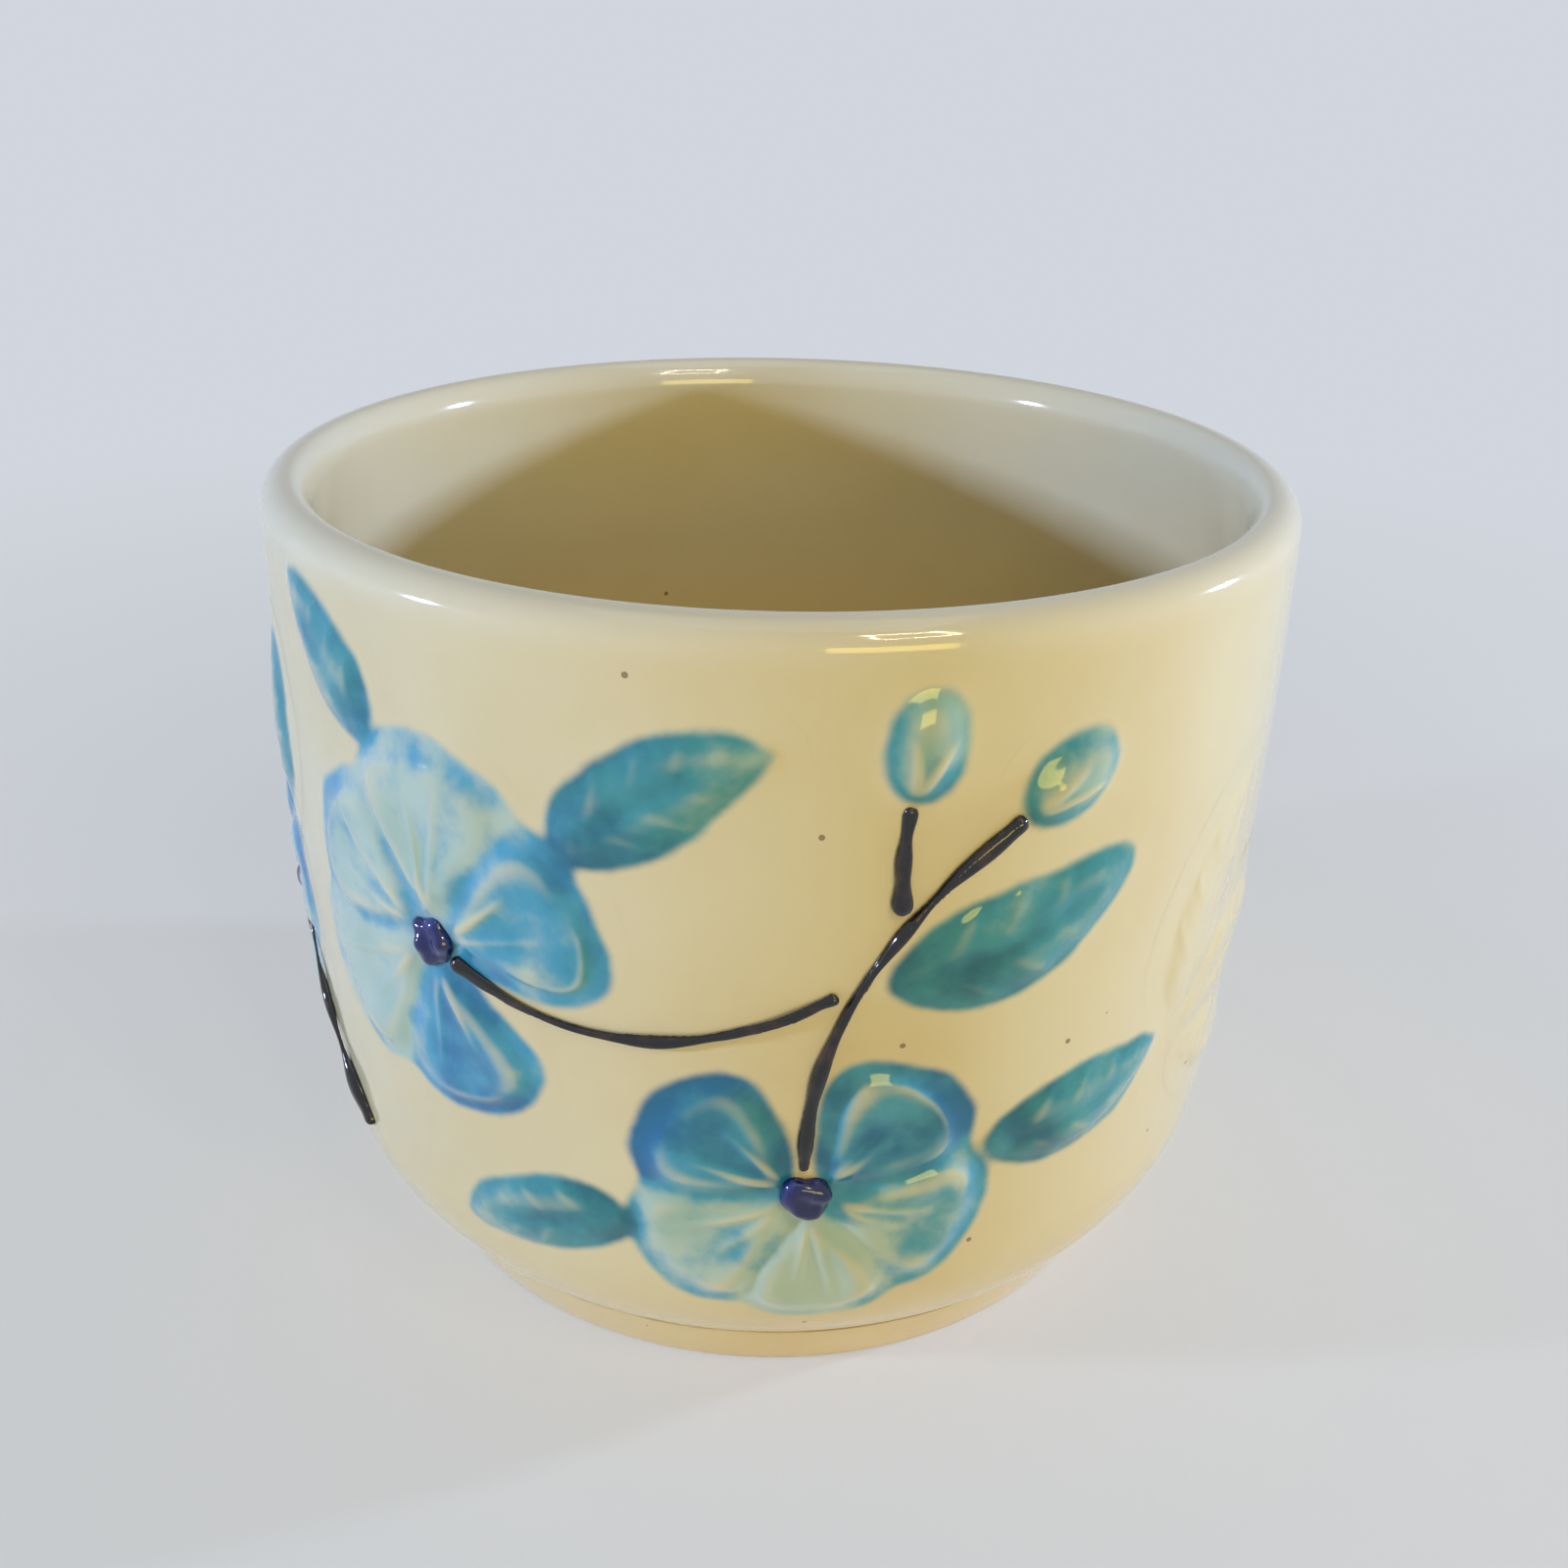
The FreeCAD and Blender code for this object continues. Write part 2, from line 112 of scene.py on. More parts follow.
# %% Arcs of the section
def arc_centre(lower, upper, radius):
    """The centre of an arc that bows away from the axis, from a lower point to an upper one."""
    chord = upper - lower
    inward = Vector((-chord.y, chord.x)).normalized()
    return (lower + upper) / 2 + inward * math.sqrt(radius ** 2 - chord.length_squared / 4)


def arc(centre, start, end, steps):
    """Points along an arc about a centre, the short way round, with both ends."""
    spoke = start - centre
    goal = end - centre
    turn = math.atan2(spoke.x * goal.y - spoke.y * goal.x, spoke.dot(goal))
    points = []
    for step in range(steps + 1):
        c = math.cos(turn * step / steps)
        s = math.sin(turn * step / steps)
        points.append(centre + Vector((spoke.x * c - spoke.y * s, spoke.x * s + spoke.y * c)))
    return points


crease = Vector((foot_top_radius, foot_height))
shoulder = Vector((RIM_RADIUS - SHOULDER_INSET, SHOULDER_HEIGHT))
rim = Vector((RIM_RADIUS, pot_height))
wall_centre = arc_centre(shoulder, rim, WALL_BOW_RADIUS)
inner_radius = (rim - Vector((WALL_THICKNESS, 0)) - wall_centre).length

# The shoulder runs into the wall without a corner, so its centre lies on the wall's own spoke
spoke_in = (wall_centre - shoulder).normalized()
shoulder_radius = (crease - shoulder).length_squared / (2 * (crease - shoulder).dot(spoke_in))
shoulder_centre = shoulder + spoke_in * shoulder_radius
print(f"shoulder arc radius {shoulder_radius:.4f}")


# %% Rounded corners of the section
def beside_wall(radius, height):
    """The point at a height on a circle about the wall's centre."""
    return Vector((wall_centre.x + math.sqrt(radius ** 2 - (height - wall_centre.y) ** 2), height))


def onto_wall(point, radius):
    """The point moved along its spoke to a circle about the wall's centre."""
    return wall_centre + (point - wall_centre).normalized() * radius


def quarter_oval(top, side, steps):
    """Points from the top of an oval to its side, a quarter of the way round."""
    points = []
    for step in range(steps + 1):
        turn = math.pi / 2 * step / steps
        across = top.x + (side.x - top.x) * math.sin(turn)
        points.append(Vector((across, side.y + (top.y - side.y) * math.cos(turn))))
    return points


def eased_run(upper, lower, steps):
    """Points down from one point to another that leave the first and meet the second upright."""
    points = []
    for step in range(steps + 1):
        share = step / steps
        eased = share * share * (3 - 2 * share)
        across = upper.x + (lower.x - upper.x) * eased
        points.append(Vector((across, upper.y + (lower.y - upper.y) * share)))
    return points


# %% The bowl's section
SHOULDER_STEPS = 28
WALL_STEPS = 40
LIP_OUTER_STEPS = 16
LIP_INNER_STEPS = 20
LIP_SWELL_STEPS = 14
FLOOR_CORNER_STEPS = 18

lip_outer_round = WALL_THICKNESS * LIP_OUTER_SHARE
lip_outer = beside_wall(WALL_BOW_RADIUS - lip_outer_round, pot_height - lip_outer_round)
lip_outer_foot = onto_wall(lip_outer, WALL_BOW_RADIUS)
lip_top = Vector((lip_outer.x, pot_height))
lip_inner_side = Vector((RIM_RADIUS - LIP_THICKNESS, pot_height - LIP_INNER_DROP))
lip_inner_foot = beside_wall(inner_radius, pot_height - LIP_SWELL_DROP)
floor_corner = beside_wall(inner_radius - FLOOR_CORNER_ROUND, floor_height + FLOOR_CORNER_ROUND)
corner_top = onto_wall(floor_corner, inner_radius)
corner_foot = Vector((floor_corner.x, floor_height))

bowl_section = [Vector((0, foot_height)), Vector((foot_top_radius / 2, foot_height))]
bowl_section += arc(shoulder_centre, crease, shoulder, SHOULDER_STEPS)
bowl_section += arc(wall_centre, shoulder, lip_outer_foot, WALL_STEPS)[1:]
bowl_section += arc(lip_outer, lip_outer_foot, lip_top, LIP_OUTER_STEPS)[1:]
bowl_section += quarter_oval(lip_top, lip_inner_side, LIP_INNER_STEPS)[1:]
bowl_section += eased_run(lip_inner_side, lip_inner_foot, LIP_SWELL_STEPS)[1:]
bowl_section += arc(wall_centre, lip_inner_foot, corner_top, WALL_STEPS)[1:]
bowl_section += arc(floor_corner, corner_top, corner_foot, FLOOR_CORNER_STEPS)[1:]
bowl_section += [Vector((floor_corner.x / 2, floor_height)), Vector((0, floor_height))]
print("points in the bowl's section:", len(bowl_section))

# %% [markdown]
# ## Bowl and foot ring
# On the real pot both come out of a mould, and the foot is joined under the bowl, which leaves a fine
# crease.  A lathe is the natural way to make them: the half section is drawn by extruding a single
# vertex from point to point, and Spin carries it once round the axis.  A Screw modifier would do the
# same, but Spin leaves a plain mesh with nothing live on it.

# %% A line drawn point by point
MERGE_DISTANCE = 1e-6


def deselect_all():
    """Leave nothing selected, because an operator acts on all that is."""
    bpy.ops.object.select_all(action="DESELECT")


def drawn_line(name, points):
    """A new object in edit mode, with one line extruded from a single vertex, all of it selected."""
    deselect_all()
    bpy.ops.mesh.primitive_circle_add(vertices=3, radius=MERGE_DISTANCE)
    made = bpy.context.object
    made.name = name
    bpy.ops.object.mode_set(mode="EDIT")
    bpy.ops.mesh.select_all(action="SELECT")
    bpy.ops.mesh.merge(type="CENTER")
    bpy.ops.transform.translate(value=points[0])
    for here, there in zip(points, points[1:]):
        bpy.ops.mesh.extrude_region_move(TRANSFORM_OT_translate={"value": there - here})
    bpy.ops.mesh.select_all(action="SELECT")
    return made


# %% A piece turned on the axis
SEGMENTS = 288
CREASE_ANGLE = math.radians(40)


def turned_piece(name, section):
    """A closed solid, spun once round the axis from its half section."""
    piece = drawn_line(name, [Vector((point.x, 0, point.y)) for point in section])
    bpy.ops.mesh.spin(steps=SEGMENTS, angle=math.tau, center=(0, 0, 0), axis=(0, 0, 1))
    bpy.ops.mesh.select_all(action="SELECT")
    bpy.ops.mesh.remove_doubles(threshold=MERGE_DISTANCE)
    bpy.ops.mesh.normals_make_consistent(inside=False)
    bpy.ops.object.mode_set(mode="OBJECT")
    bpy.ops.object.shade_smooth_by_angle(angle=CREASE_ANGLE)
    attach(piece, "root")
    return piece


def largest_gap(piece, node):
    """How far the node's vertices lie from the piece, at most."""
    tree = BVHTree.FromObject(piece, bpy.context.evaluated_depsgraph_get())
    return max(tree.find_nearest(vertex.co)[3] for vertex in frame["nodes"][node].data.vertices)


# %% The bowl
bowl = turned_piece("glazed_bowl", bowl_section)
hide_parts("bowl")
print(f"bowl: {len(bowl.data.polygons)} faces, within {largest_gap(bowl, 'bowl') * 1000:.3f} mm of its node")

# %% The foot ring
FOOT_CORNER_STEPS = 8


def rounded_corners(corners, rounds, steps):
    """A closed section with each corner rounded by an arc that touches both of its sides."""
    section = []
    for index, (corner, radius) in enumerate(zip(corners, rounds)):
        if radius == 0:
            section.append(corner)
            continue
        back = (corners[index - 1] - corner).normalized()
        ahead = (corners[(index + 1) % len(corners)] - corner).normalized()
        half = back.angle(ahead) / 2
        middle = corner + (back + ahead).normalized() * radius / math.sin(half)
        run = radius / math.tan(half)
        section += arc(middle, corner + back * run, corner + ahead * run, steps)
    return section + section[:1]


foot_bore_radius = foot_base_radius - FOOT_RING_WIDTH
foot_corners = [
    Vector((foot_base_radius, 0)),
    Vector((foot_top_radius, foot_height)),
    Vector((foot_bore_radius, foot_height)),
    Vector((foot_bore_radius, 0)),
]
foot_rounds = (FOOT_EDGE_ROUND, SEAM_ROUND, 0, FOOT_EDGE_ROUND)
foot = turned_piece("glazed_foot_ring", rounded_corners(foot_corners, foot_rounds, FOOT_CORNER_STEPS))
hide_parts("foot_ring")
print(f"foot: {len(foot.data.polygons)} faces, within {largest_gap(foot, 'foot_ring') * 1000:.3f} mm")

# %% [markdown]
# ## A flat map of the wall
# The relief is modelled in clay on the wall and then flooded with glaze, which rounds its edges and
# lies thicker in its hollows.  To know where the clay stands and how high, the wall is unrolled into a
# flat map, like a label soaked off a jar: across is the way round from the front, up is the height.
# From each cell of the map a ray is cast straight in to the wall, and where it meets a piece of relief
# first, the cell notes how far that piece stands out.


# %% Places on the map
def mesh_points(piece):
    """The vertices of a piece or a node as an array."""
    points = np.empty(len(piece.data.vertices) * 3, np.float32)
    piece.data.vertices.foreach_get("co", points)
    return points.reshape(-1, 3).astype(float)


def unrolled(points):
    """Places on the map for points on the wall."""
    turn = np.arctan2(points[:, 0], -points[:, 1])
    return np.stack((turn * RIM_RADIUS, points[:, 2]), -1)


def wall_lie(places):
    """Points on the outer wall for places on the map, and the direction straight out of it there."""
    turn = places[:, 0] / RIM_RADIUS
    low = places[:, 1] < SHOULDER_HEIGHT
    radius = np.where(low, shoulder_radius, WALL_BOW_RADIUS)
    rise = places[:, 1] - np.where(low, shoulder_centre.y, wall_centre.y)
    run = np.sqrt(radius ** 2 - rise ** 2)
    reach = np.where(low, shoulder_centre.x, wall_centre.x) + run
    out = np.stack((np.sin(turn), -np.cos(turn)), -1)
    points = np.column_stack((out * reach[:, None], places[:, 1]))
    normals = np.column_stack((out * (run / radius)[:, None], rise / radius))
    return points, normals


# %% What lies on the map
relief_nodes = sorted(set(frame["nodes"]) - {"bowl", "foot_ring"})
stem_nodes = [name for name in relief_nodes if name.endswith(("stem", "twig"))]
heart_nodes = [name for name in relief_nodes if name.endswith("centre")]
modelled_nodes = [name for name in relief_nodes if name not in stem_nodes + heart_nodes]
petal_nodes = [name for name in modelled_nodes if "petal" in name]
leaf_nodes = [name for name in modelled_nodes if "leaf" in name]
bud_nodes = [name for name in modelled_nodes if "bud" in name]
plain_nodes = [name for name in leaf_nodes if "plain" in name]
node_places = {name: unrolled(mesh_points(frame["nodes"][name])) for name in relief_nodes}
print(f"{len(petal_nodes)} petals, {len(leaf_nodes)} leaves, {len(bud_nodes)} buds, {len(stem_nodes)} stems")

# %% The cells of the map
MAP_STEP = 0.00025
MAP_MARGIN = 0.008

map_low = np.min([places.min(0) for places in node_places.values()], 0) - MAP_MARGIN
map_high = np.max([places.max(0) for places in node_places.values()], 0) + MAP_MARGIN
columns, rows = np.ceil((map_high - map_low) / MAP_STEP).astype(int)
across, up = np.meshgrid(np.arange(columns), np.arange(rows))
map_places = np.stack((across, up), -1).reshape(-1, 2) * MAP_STEP + map_low
wall_points, wall_normals = (layer.reshape(rows, columns, 3) for layer in wall_lie(map_places))
map_across = map_places[:, 0].reshape(rows, columns)
map_up = map_places[:, 1].reshape(rows, columns)
print(f"map of {columns} by {rows} cells, {len(modelled_nodes)} modelled pieces on it")

# %% Rays on the relief
RAY_REACH = 0.006


def measured_rise(name):
    """How far one piece stands out of the wall, cell by cell, and zero where it isn't."""
    tree = BVHTree.FromObject(frame["nodes"][name], bpy.context.evaluated_depsgraph_get())
    low = np.floor((node_places[name].min(0) - map_low) / MAP_STEP).astype(int)
    high = np.ceil((node_places[name].max(0) - map_low) / MAP_STEP).astype(int) + 1
    window = (slice(low[1], high[1]), slice(low[0], high[0]))
    inward = -wall_normals[window].reshape(-1, 3)
    starts = wall_points[window].reshape(-1, 3) - inward * RAY_REACH
    distances = [
        tree.ray_cast(start, direction, RAY_REACH)[3]
        for start, direction in zip(starts.tolist(), inward.tolist())
    ]
    rise = np.zeros((rows, columns))
    heights = [0.0 if distance is None else RAY_REACH - distance for distance in distances]
    rise[window] = np.reshape(heights, rise[window].shape)
    return rise


rises = {name: measured_rise(name) for name in modelled_nodes}
print(f"highest relief {max(rise.max() for rise in rises.values()) * 1000:.2f} mm")

# %% [markdown]
# ## Clay details on the map
# Four things are added by hand on the real clay: soft folds that leave the heart of each petal, veins
# on each leaf, a thread of clay just inside the edge of each petal, and the slight unevenness of soft
# clay under a thumb.  All are small, so they are drawn on the map as heights.  Then the glaze is
# poured: a wide blur makes soft mounds of the petals, and a narrow one keeps the threads on them fine.


# %% Blurring on the map
def soften(layer, width):
    """Blur a layer of the map with a bell of this width, by fading its fine frequencies."""
    fast_across = np.fft.fftfreq(columns, MAP_STEP)
    fast_up = np.fft.fftfreq(rows, MAP_STEP)
    fade = np.exp(-2 * (np.pi * width) ** 2 * (fast_up[:, None] ** 2 + fast_across[None, :] ** 2))
    return np.fft.ifft2(np.fft.fft2(layer) * fade).real


def cover_of(nodes):
    """Ones on the map where the pieces stand, zeros elsewhere."""
    return np.max([rises[node] > 0 for node in nodes], 0).astype(float)


def bell(values, width):
    """One where the values are zero, falling away smoothly on both sides."""
    return np.exp(-(values / width) ** 2)


# %% Which way a piece runs
BLOSSOMS = ("upper_blossom", "lower_blossom", "side_blossom")
PETALS = 5
hearts_at = np.array([node_places[f"{blossom}_centre"].mean(0) for blossom in BLOSSOMS])


def run_of(node, root=None):
    """How far each cell lies along a piece, from 0 at its root to 1 at its tip, and beside its middle line.

    A piece with no root given grows from its end that is nearer to a blossom, and may bend.
    """
    cover = rises[node] > 0
    cells = np.stack((map_across[cover], map_up[cover]), -1)
    if root is None:
        middle = cells.mean(0)
        direction = np.linalg.svd(cells - middle, full_matrices=False)[2][0]
        heart = hearts_at[np.argmin(np.linalg.norm(hearts_at - middle, axis=1))]
        direction *= np.sign((middle - heart) @ direction)
        root = middle + direction * ((cells - middle) @ direction).min()
    else:
        direction = cells.mean(0) - root
        direction /= np.linalg.norm(direction)
    aside = map_across - root[0]
    above = map_up - root[1]
    along = aside * direction[0] + above * direction[1]
    beside = above * direction[0] - aside * direction[1]
    bend = np.polyfit(along[cover], beside[cover], 2)
    return along / along[cover].max(), beside - np.polyval(bend, along), cover


# %% Folds
FOLD_SEED = 23
FOLDS = 2
FOLD_HEIGHTS = (0.00022, 0.0004)
FOLD_HALF_WIDTHS = (0.0004, 0.0008)
FOLD_LENGTH_SHARES = (0.5, 0.85)
FOLD_START_SHARE = 0.12
FOLD_SIDE_SHARE = 0.32
FOLD_STRAY_SHARE = 0.16
FOLD_LEAN_SHARE = 0.5
FOLD_BEND_SHARES = (0.2, 0.8)
FOLD_TAPER = 0.8
SPREAD_FROM_SHARE = 0.2

hand = np.random.default_rng(FOLD_SEED)


def folds(node, root):
    """A few soft folds that leave the root of a petal or bud and curve aside, no two alike."""
    share, beside, cover = run_of(node, root)
    spread = np.abs(beside[cover] / np.maximum(share[cover], SPREAD_FROM_SHARE)).max()
    ridges = np.zeros((rows, columns))
    for side in np.linspace(-FOLD_SIDE_SHARE, FOLD_SIDE_SHARE, FOLDS):
        lean = spread * (side + hand.uniform(-FOLD_STRAY_SHARE, FOLD_STRAY_SHARE))
        reach = np.clip((share - FOLD_START_SHARE) / hand.uniform(*FOLD_LENGTH_SHARES), 0, 1)
        fold = lean * share * (FOLD_LEAN_SHARE + hand.uniform(*FOLD_BEND_SHARES) * share)
        ridge = bell(beside - fold, hand.uniform(*FOLD_HALF_WIDTHS)) * np.sin(np.pi * reach) ** FOLD_TAPER
        ridges = np.maximum(ridges, ridge * hand.uniform(*FOLD_HEIGHTS))
    return ridges * cover


# %% Threads and veins
THREAD_HEIGHT = 0.00026
THREAD_INSET = 0.0011
THREAD_LEVEL = 0.75
THREAD_LEVEL_SPREAD = 0.12
THREAD_START_SHARE = 0.45
THREAD_FADE_SHARE = 0.3
THREAD_BREAK = 0.0028
SIDE_VEINS = 5
SIDE_VEIN_HEIGHT = 0.00016
SIDE_VEIN_SLANT_SHARE = 0.16
SIDE_VEIN_SHARPNESS = 4

thread_shows = soften(hand.normal(size=(rows, columns)), THREAD_BREAK)
thread_shows = np.clip(thread_shows / thread_shows.std(), 0, 1)


def edge_thread(node, root):
    """A raised thread along the outer edge of a petal, a little inside it, that comes and goes."""
    share, _, cover = run_of(node, root)
    inside = soften(cover_of([node]), THREAD_INSET)
    outer = np.clip((share - THREAD_START_SHARE) / THREAD_FADE_SHARE, 0, 1)
    thread = bell(inside - THREAD_LEVEL, THREAD_LEVEL_SPREAD)
    return thread * outer * thread_shows * cover * THREAD_HEIGHT


def side_veins(node):
    """Slanting pairs of low ridges on both sides of a leaf's middle line."""
    share, beside, cover = run_of(node)
    half_width = np.abs(beside[cover]).max()
    slant = share - SIDE_VEIN_SLANT_SHARE * np.abs(beside) / half_width
    waves = (0.5 + 0.5 * np.cos(2 * np.pi * slant * SIDE_VEINS)) ** SIDE_VEIN_SHARPNESS
    return waves * np.clip(np.abs(beside) / half_width, 0, 1) * cover * SIDE_VEIN_HEIGHT


# %% All the fine ridges together
BUD_STEMS = {"main_bud": "main_stem", "twig_bud": "twig"}

threads = np.zeros((rows, columns))
for blossom, heart in zip(BLOSSOMS, hearts_at):
    for number in range(1, PETALS + 1):
        petal = f"{blossom}_petal_{number}"
        threads += folds(petal, heart) + edge_thread(petal, heart)
for leaf in leaf_nodes:
    threads += side_veins(leaf)
for bud in bud_nodes:
    stem_places = node_places[BUD_STEMS[bud]]
    nearest = np.argmin(np.linalg.norm(stem_places - node_places[bud].mean(0), axis=1))
    threads += folds(bud, stem_places[nearest])
print(f"threads of clay up to {threads.max() * 1000:.2f} mm")

# %% The glazed relief
THUMB_SEED = 11
THUMB_WIDTH = 0.0022
THUMB_HEIGHT = 0.00009
MOUND_ROUNDING = 0.0009
MOUND_SHARE = 0.8
THREAD_ROUNDING = 0.00022
POOL_WIDTH = 0.0013
POOL_DEPTH = 0.0003
POOL_BESIDE_SHARE = 0.3

thumb = soften(np.random.default_rng(THUMB_SEED).normal(size=(rows, columns)), THUMB_WIDTH)
thumb *= THUMB_HEIGHT / thumb.std()
clay = np.max(list(rises.values()), 0)
clay_cover = np.clip(soften((clay > 0).astype(float), MOUND_ROUNDING), 0, 1)
glazed = soften(clay, MOUND_ROUNDING) * MOUND_SHARE + thumb * clay_cover + soften(threads, THREAD_ROUNDING)
glazed = np.clip(glazed, 0, None)
pool_map = np.clip((soften(glazed, POOL_WIDTH) - glazed) / POOL_DEPTH, -1, 1)
pool_map *= POOL_BESIDE_SHARE + (1 - POOL_BESIDE_SHARE) * clay_cover
print(f"glazed relief up to {glazed.max() * 1000:.2f} mm")

# %% [markdown]
# ## Skins of glaze over the relief
# Each modelled piece becomes a skin: a fine grid that faces the wall, dropped on to the bowl with a
# Shrinkwrap, raised by a Displace whose weights are read from the map, and trimmed to the piece with a
# wide skirt that lies on the wall.  The skirt is what makes clay look grown on rather than stuck on,
# because the glaze and the paint run across the edge.  Where two skirts meet, one runs a little over
# the other, and each skin is lifted by a hair more than the one before it, so that no two lie in one
# surface.  Sculpting would also do, but the map keeps every ridge where the construction has it.

# %% Reading the map
EDGE_CELLS = 1.001


def sample(layer, places):
    """Values of a map layer at places between its cells, short of its last row and column."""
    spots = np.clip((places - map_low) / MAP_STEP, 0, (columns - EDGE_CELLS, rows - EDGE_CELLS))
    column, row = spots.astype(int).T
    right, above = (spots - spots.astype(int)).T
    lower = layer[row, column] * (1 - right) + layer[row, column + 1] * right
    upper = layer[row + 1, column] * (1 - right) + layer[row + 1, column + 1] * right
    return lower * (1 - above) + upper * above


def note(piece, name, values):
    """Keep one value for each vertex, for the materials to read."""
    layer = piece.data.attributes.new(name, "FLOAT", "POINT")
    layer.data.foreach_set("value", np.asarray(values, np.float32))


# %% Modifiers that are applied at once
def weigh(piece, name, weights):
    """A vertex group with a weight for each vertex, by its name."""
    group = piece.vertex_groups.new(name=name)
    for index, weight in enumerate(weights.tolist()):
        group.add([index], weight, "REPLACE")
    return group.name


def apply_modifier(piece, kind, **settings):
    """Put a modifier on the active piece, set it up and apply it."""
    modifier = piece.modifiers.new(kind.lower(), kind)
    for name, value in settings.items():
        setattr(modifier, name, value)
    bpy.ops.object.modifier_apply(modifier=modifier.name)


# %% Laying a grid on the wall
SKIN_STEP = 0.00026
STAND_OFF = 0.012


def grid_on_wall(name, low, high):
    """A fine grid over a window of the map, dropped on to the bowl."""
    point, normal = (Vector(layer[0]) for layer in wall_lie((low + high)[None] / 2))
    width, height = high - low
    deselect_all()
    bpy.ops.mesh.primitive_grid_add(
        x_subdivisions=round(width / SKIN_STEP),
        y_subdivisions=round(height / SKIN_STEP),
        size=1,
        location=point + normal * STAND_OFF,
        rotation=normal.to_track_quat("Z", "Y").to_euler(),
    )
    piece = bpy.context.object
    piece.name = name
    piece.scale = (width, height, 1)
    bpy.ops.object.transform_apply(location=True, rotation=True, scale=True)
    apply_modifier(piece, "SHRINKWRAP", target=bowl, wrap_method="PROJECT",
                   use_negative_direction=True, use_positive_direction=False)
    return piece


# %% Raising and trimming
FULL_RISE = 0.004


def raise_by_map(piece, rise):
    """Lift each vertex off the wall by the height on a map."""
    weights = weigh(piece, "rise", sample(rise, unrolled(mesh_points(piece))) / FULL_RISE)
    apply_modifier(piece, "DISPLACE", vertex_group=weights, direction="NORMAL", mid_level=0,
                   strength=FULL_RISE)


def trim(piece, keep):
    """Delete the vertices that aren't kept."""
    bpy.context.tool_settings.mesh_select_mode = (True, False, False)
    bpy.ops.object.mode_set(mode="EDIT")
    bpy.ops.mesh.select_all(action="DESELECT")
    bpy.ops.object.mode_set(mode="OBJECT")
    piece.data.vertices.foreach_set("select", ~keep)
    bpy.ops.object.mode_set(mode="EDIT")
    bpy.ops.mesh.delete(type="VERT")
    bpy.ops.object.mode_set(mode="OBJECT")


# %% One skin
SKIRT = 0.0052
SKIRT_LEVEL = 0.025
OVERLAP_SHARE = 0.6
EDGE_LIFT = 0.000012
LIFT_STEP = 0.000004
LIFT_LEVEL = 0.2
KEPT_LEVEL = 0.5


def skin(name, nodes):
    """The glaze over some pieces of relief, with a skirt that meets the next piece's."""
    near = soften(cover_of(nodes), SKIRT / 2)
    others = [node for node in modelled_nodes if node not in nodes]
    near_others = soften(cover_of(others), SKIRT / 2)
    mine = (near > SKIRT_LEVEL) & (near > near_others * OVERLAP_SHARE)
    cells = map_places.reshape(rows, columns, 2)[mine]
    piece = grid_on_wall(name, cells.min(0), cells.max(0))
    places = unrolled(mesh_points(piece))
    lift = LIFT_STEP * modelled_nodes.index(nodes[0]) * np.clip((near - SKIRT_LEVEL) / LIFT_LEVEL, 0, 1)
    raise_by_map(piece, glazed + EDGE_LIFT + lift)
    trim(piece, sample(mine.astype(float), places) > KEPT_LEVEL)
    bpy.ops.object.shade_smooth()
    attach(piece, "root")
    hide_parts(*nodes)
    print(f"{name}: {len(piece.data.polygons)} faces")
    return piece


# %% Skins for the blossoms, leaves and buds
blossoms = [
    skin(f"{name}_petals", [node for node in petal_nodes if node.startswith(name)])
    for name in BLOSSOMS
]
painted_leaves = [
    skin(f"{node}_skin", [node])
    for node in leaf_nodes
    if node not in plain_nodes
]
plain_leaves = [skin(f"{node}_skin", [node]) for node in plain_nodes]
buds = [skin(f"{node}_skin", [node]) for node in bud_nodes]

# %% [markdown]
# ## Where the paint lies
# The colours are brushed on before the clear glaze, freely and well past the edge of the clay, and
# their edges soften in the fire.  So the painted area is the relief grown by a brush's width that comes
# and goes, and then blurred a little.  An image could hold it, but values kept on the vertices need no
# flat layout of the skins.  Each vertex keeps four: how well the brush covered it, how pale the wash is
# there, whether it is leaf green rather than petal blue, and how deep the glaze pools.

# %% Where the brush has been
BRUSH_REACH = 0.0018
PETAL_BRUSH_LEVEL = 0.1
PETAL_BRUSH_FREEDOM = 1.0
LEAF_BRUSH_LEVEL = 0.3
LEAF_BRUSH_FREEDOM = 0.5
BRUSH_SEED = 5
BRUSH_WANDER = 0.003
BRUSH_WANDER_SHARE = 0.42
BRUSH_WANDER_LIMITS = (0.4, 1.6)
WASH_EDGE = 0.00065

wander = soften(np.random.default_rng(BRUSH_SEED).normal(size=(rows, columns)), BRUSH_WANDER)
wander = np.clip(1 + wander * BRUSH_WANDER_SHARE / wander.std(), *BRUSH_WANDER_LIMITS)


def brushed(nodes, level, freedom):
    """Where the brush has been: the pieces, grown to where their blur falls to a wandering level."""
    return soften(cover_of(nodes), BRUSH_REACH) > level * wander ** freedom


painted_nodes = [node for node in modelled_nodes if node not in plain_nodes]
leaves_and_buds = [node for node in painted_nodes if node not in petal_nodes]
paint = brushed(petal_nodes, PETAL_BRUSH_LEVEL, PETAL_BRUSH_FREEDOM)
paint |= brushed(leaves_and_buds, LEAF_BRUSH_LEVEL, LEAF_BRUSH_FREEDOM)
wash_map = soften(np.maximum(paint, cover_of(painted_nodes)), WASH_EDGE)
print(f"the brush covers {paint.mean():.0%} of the map")

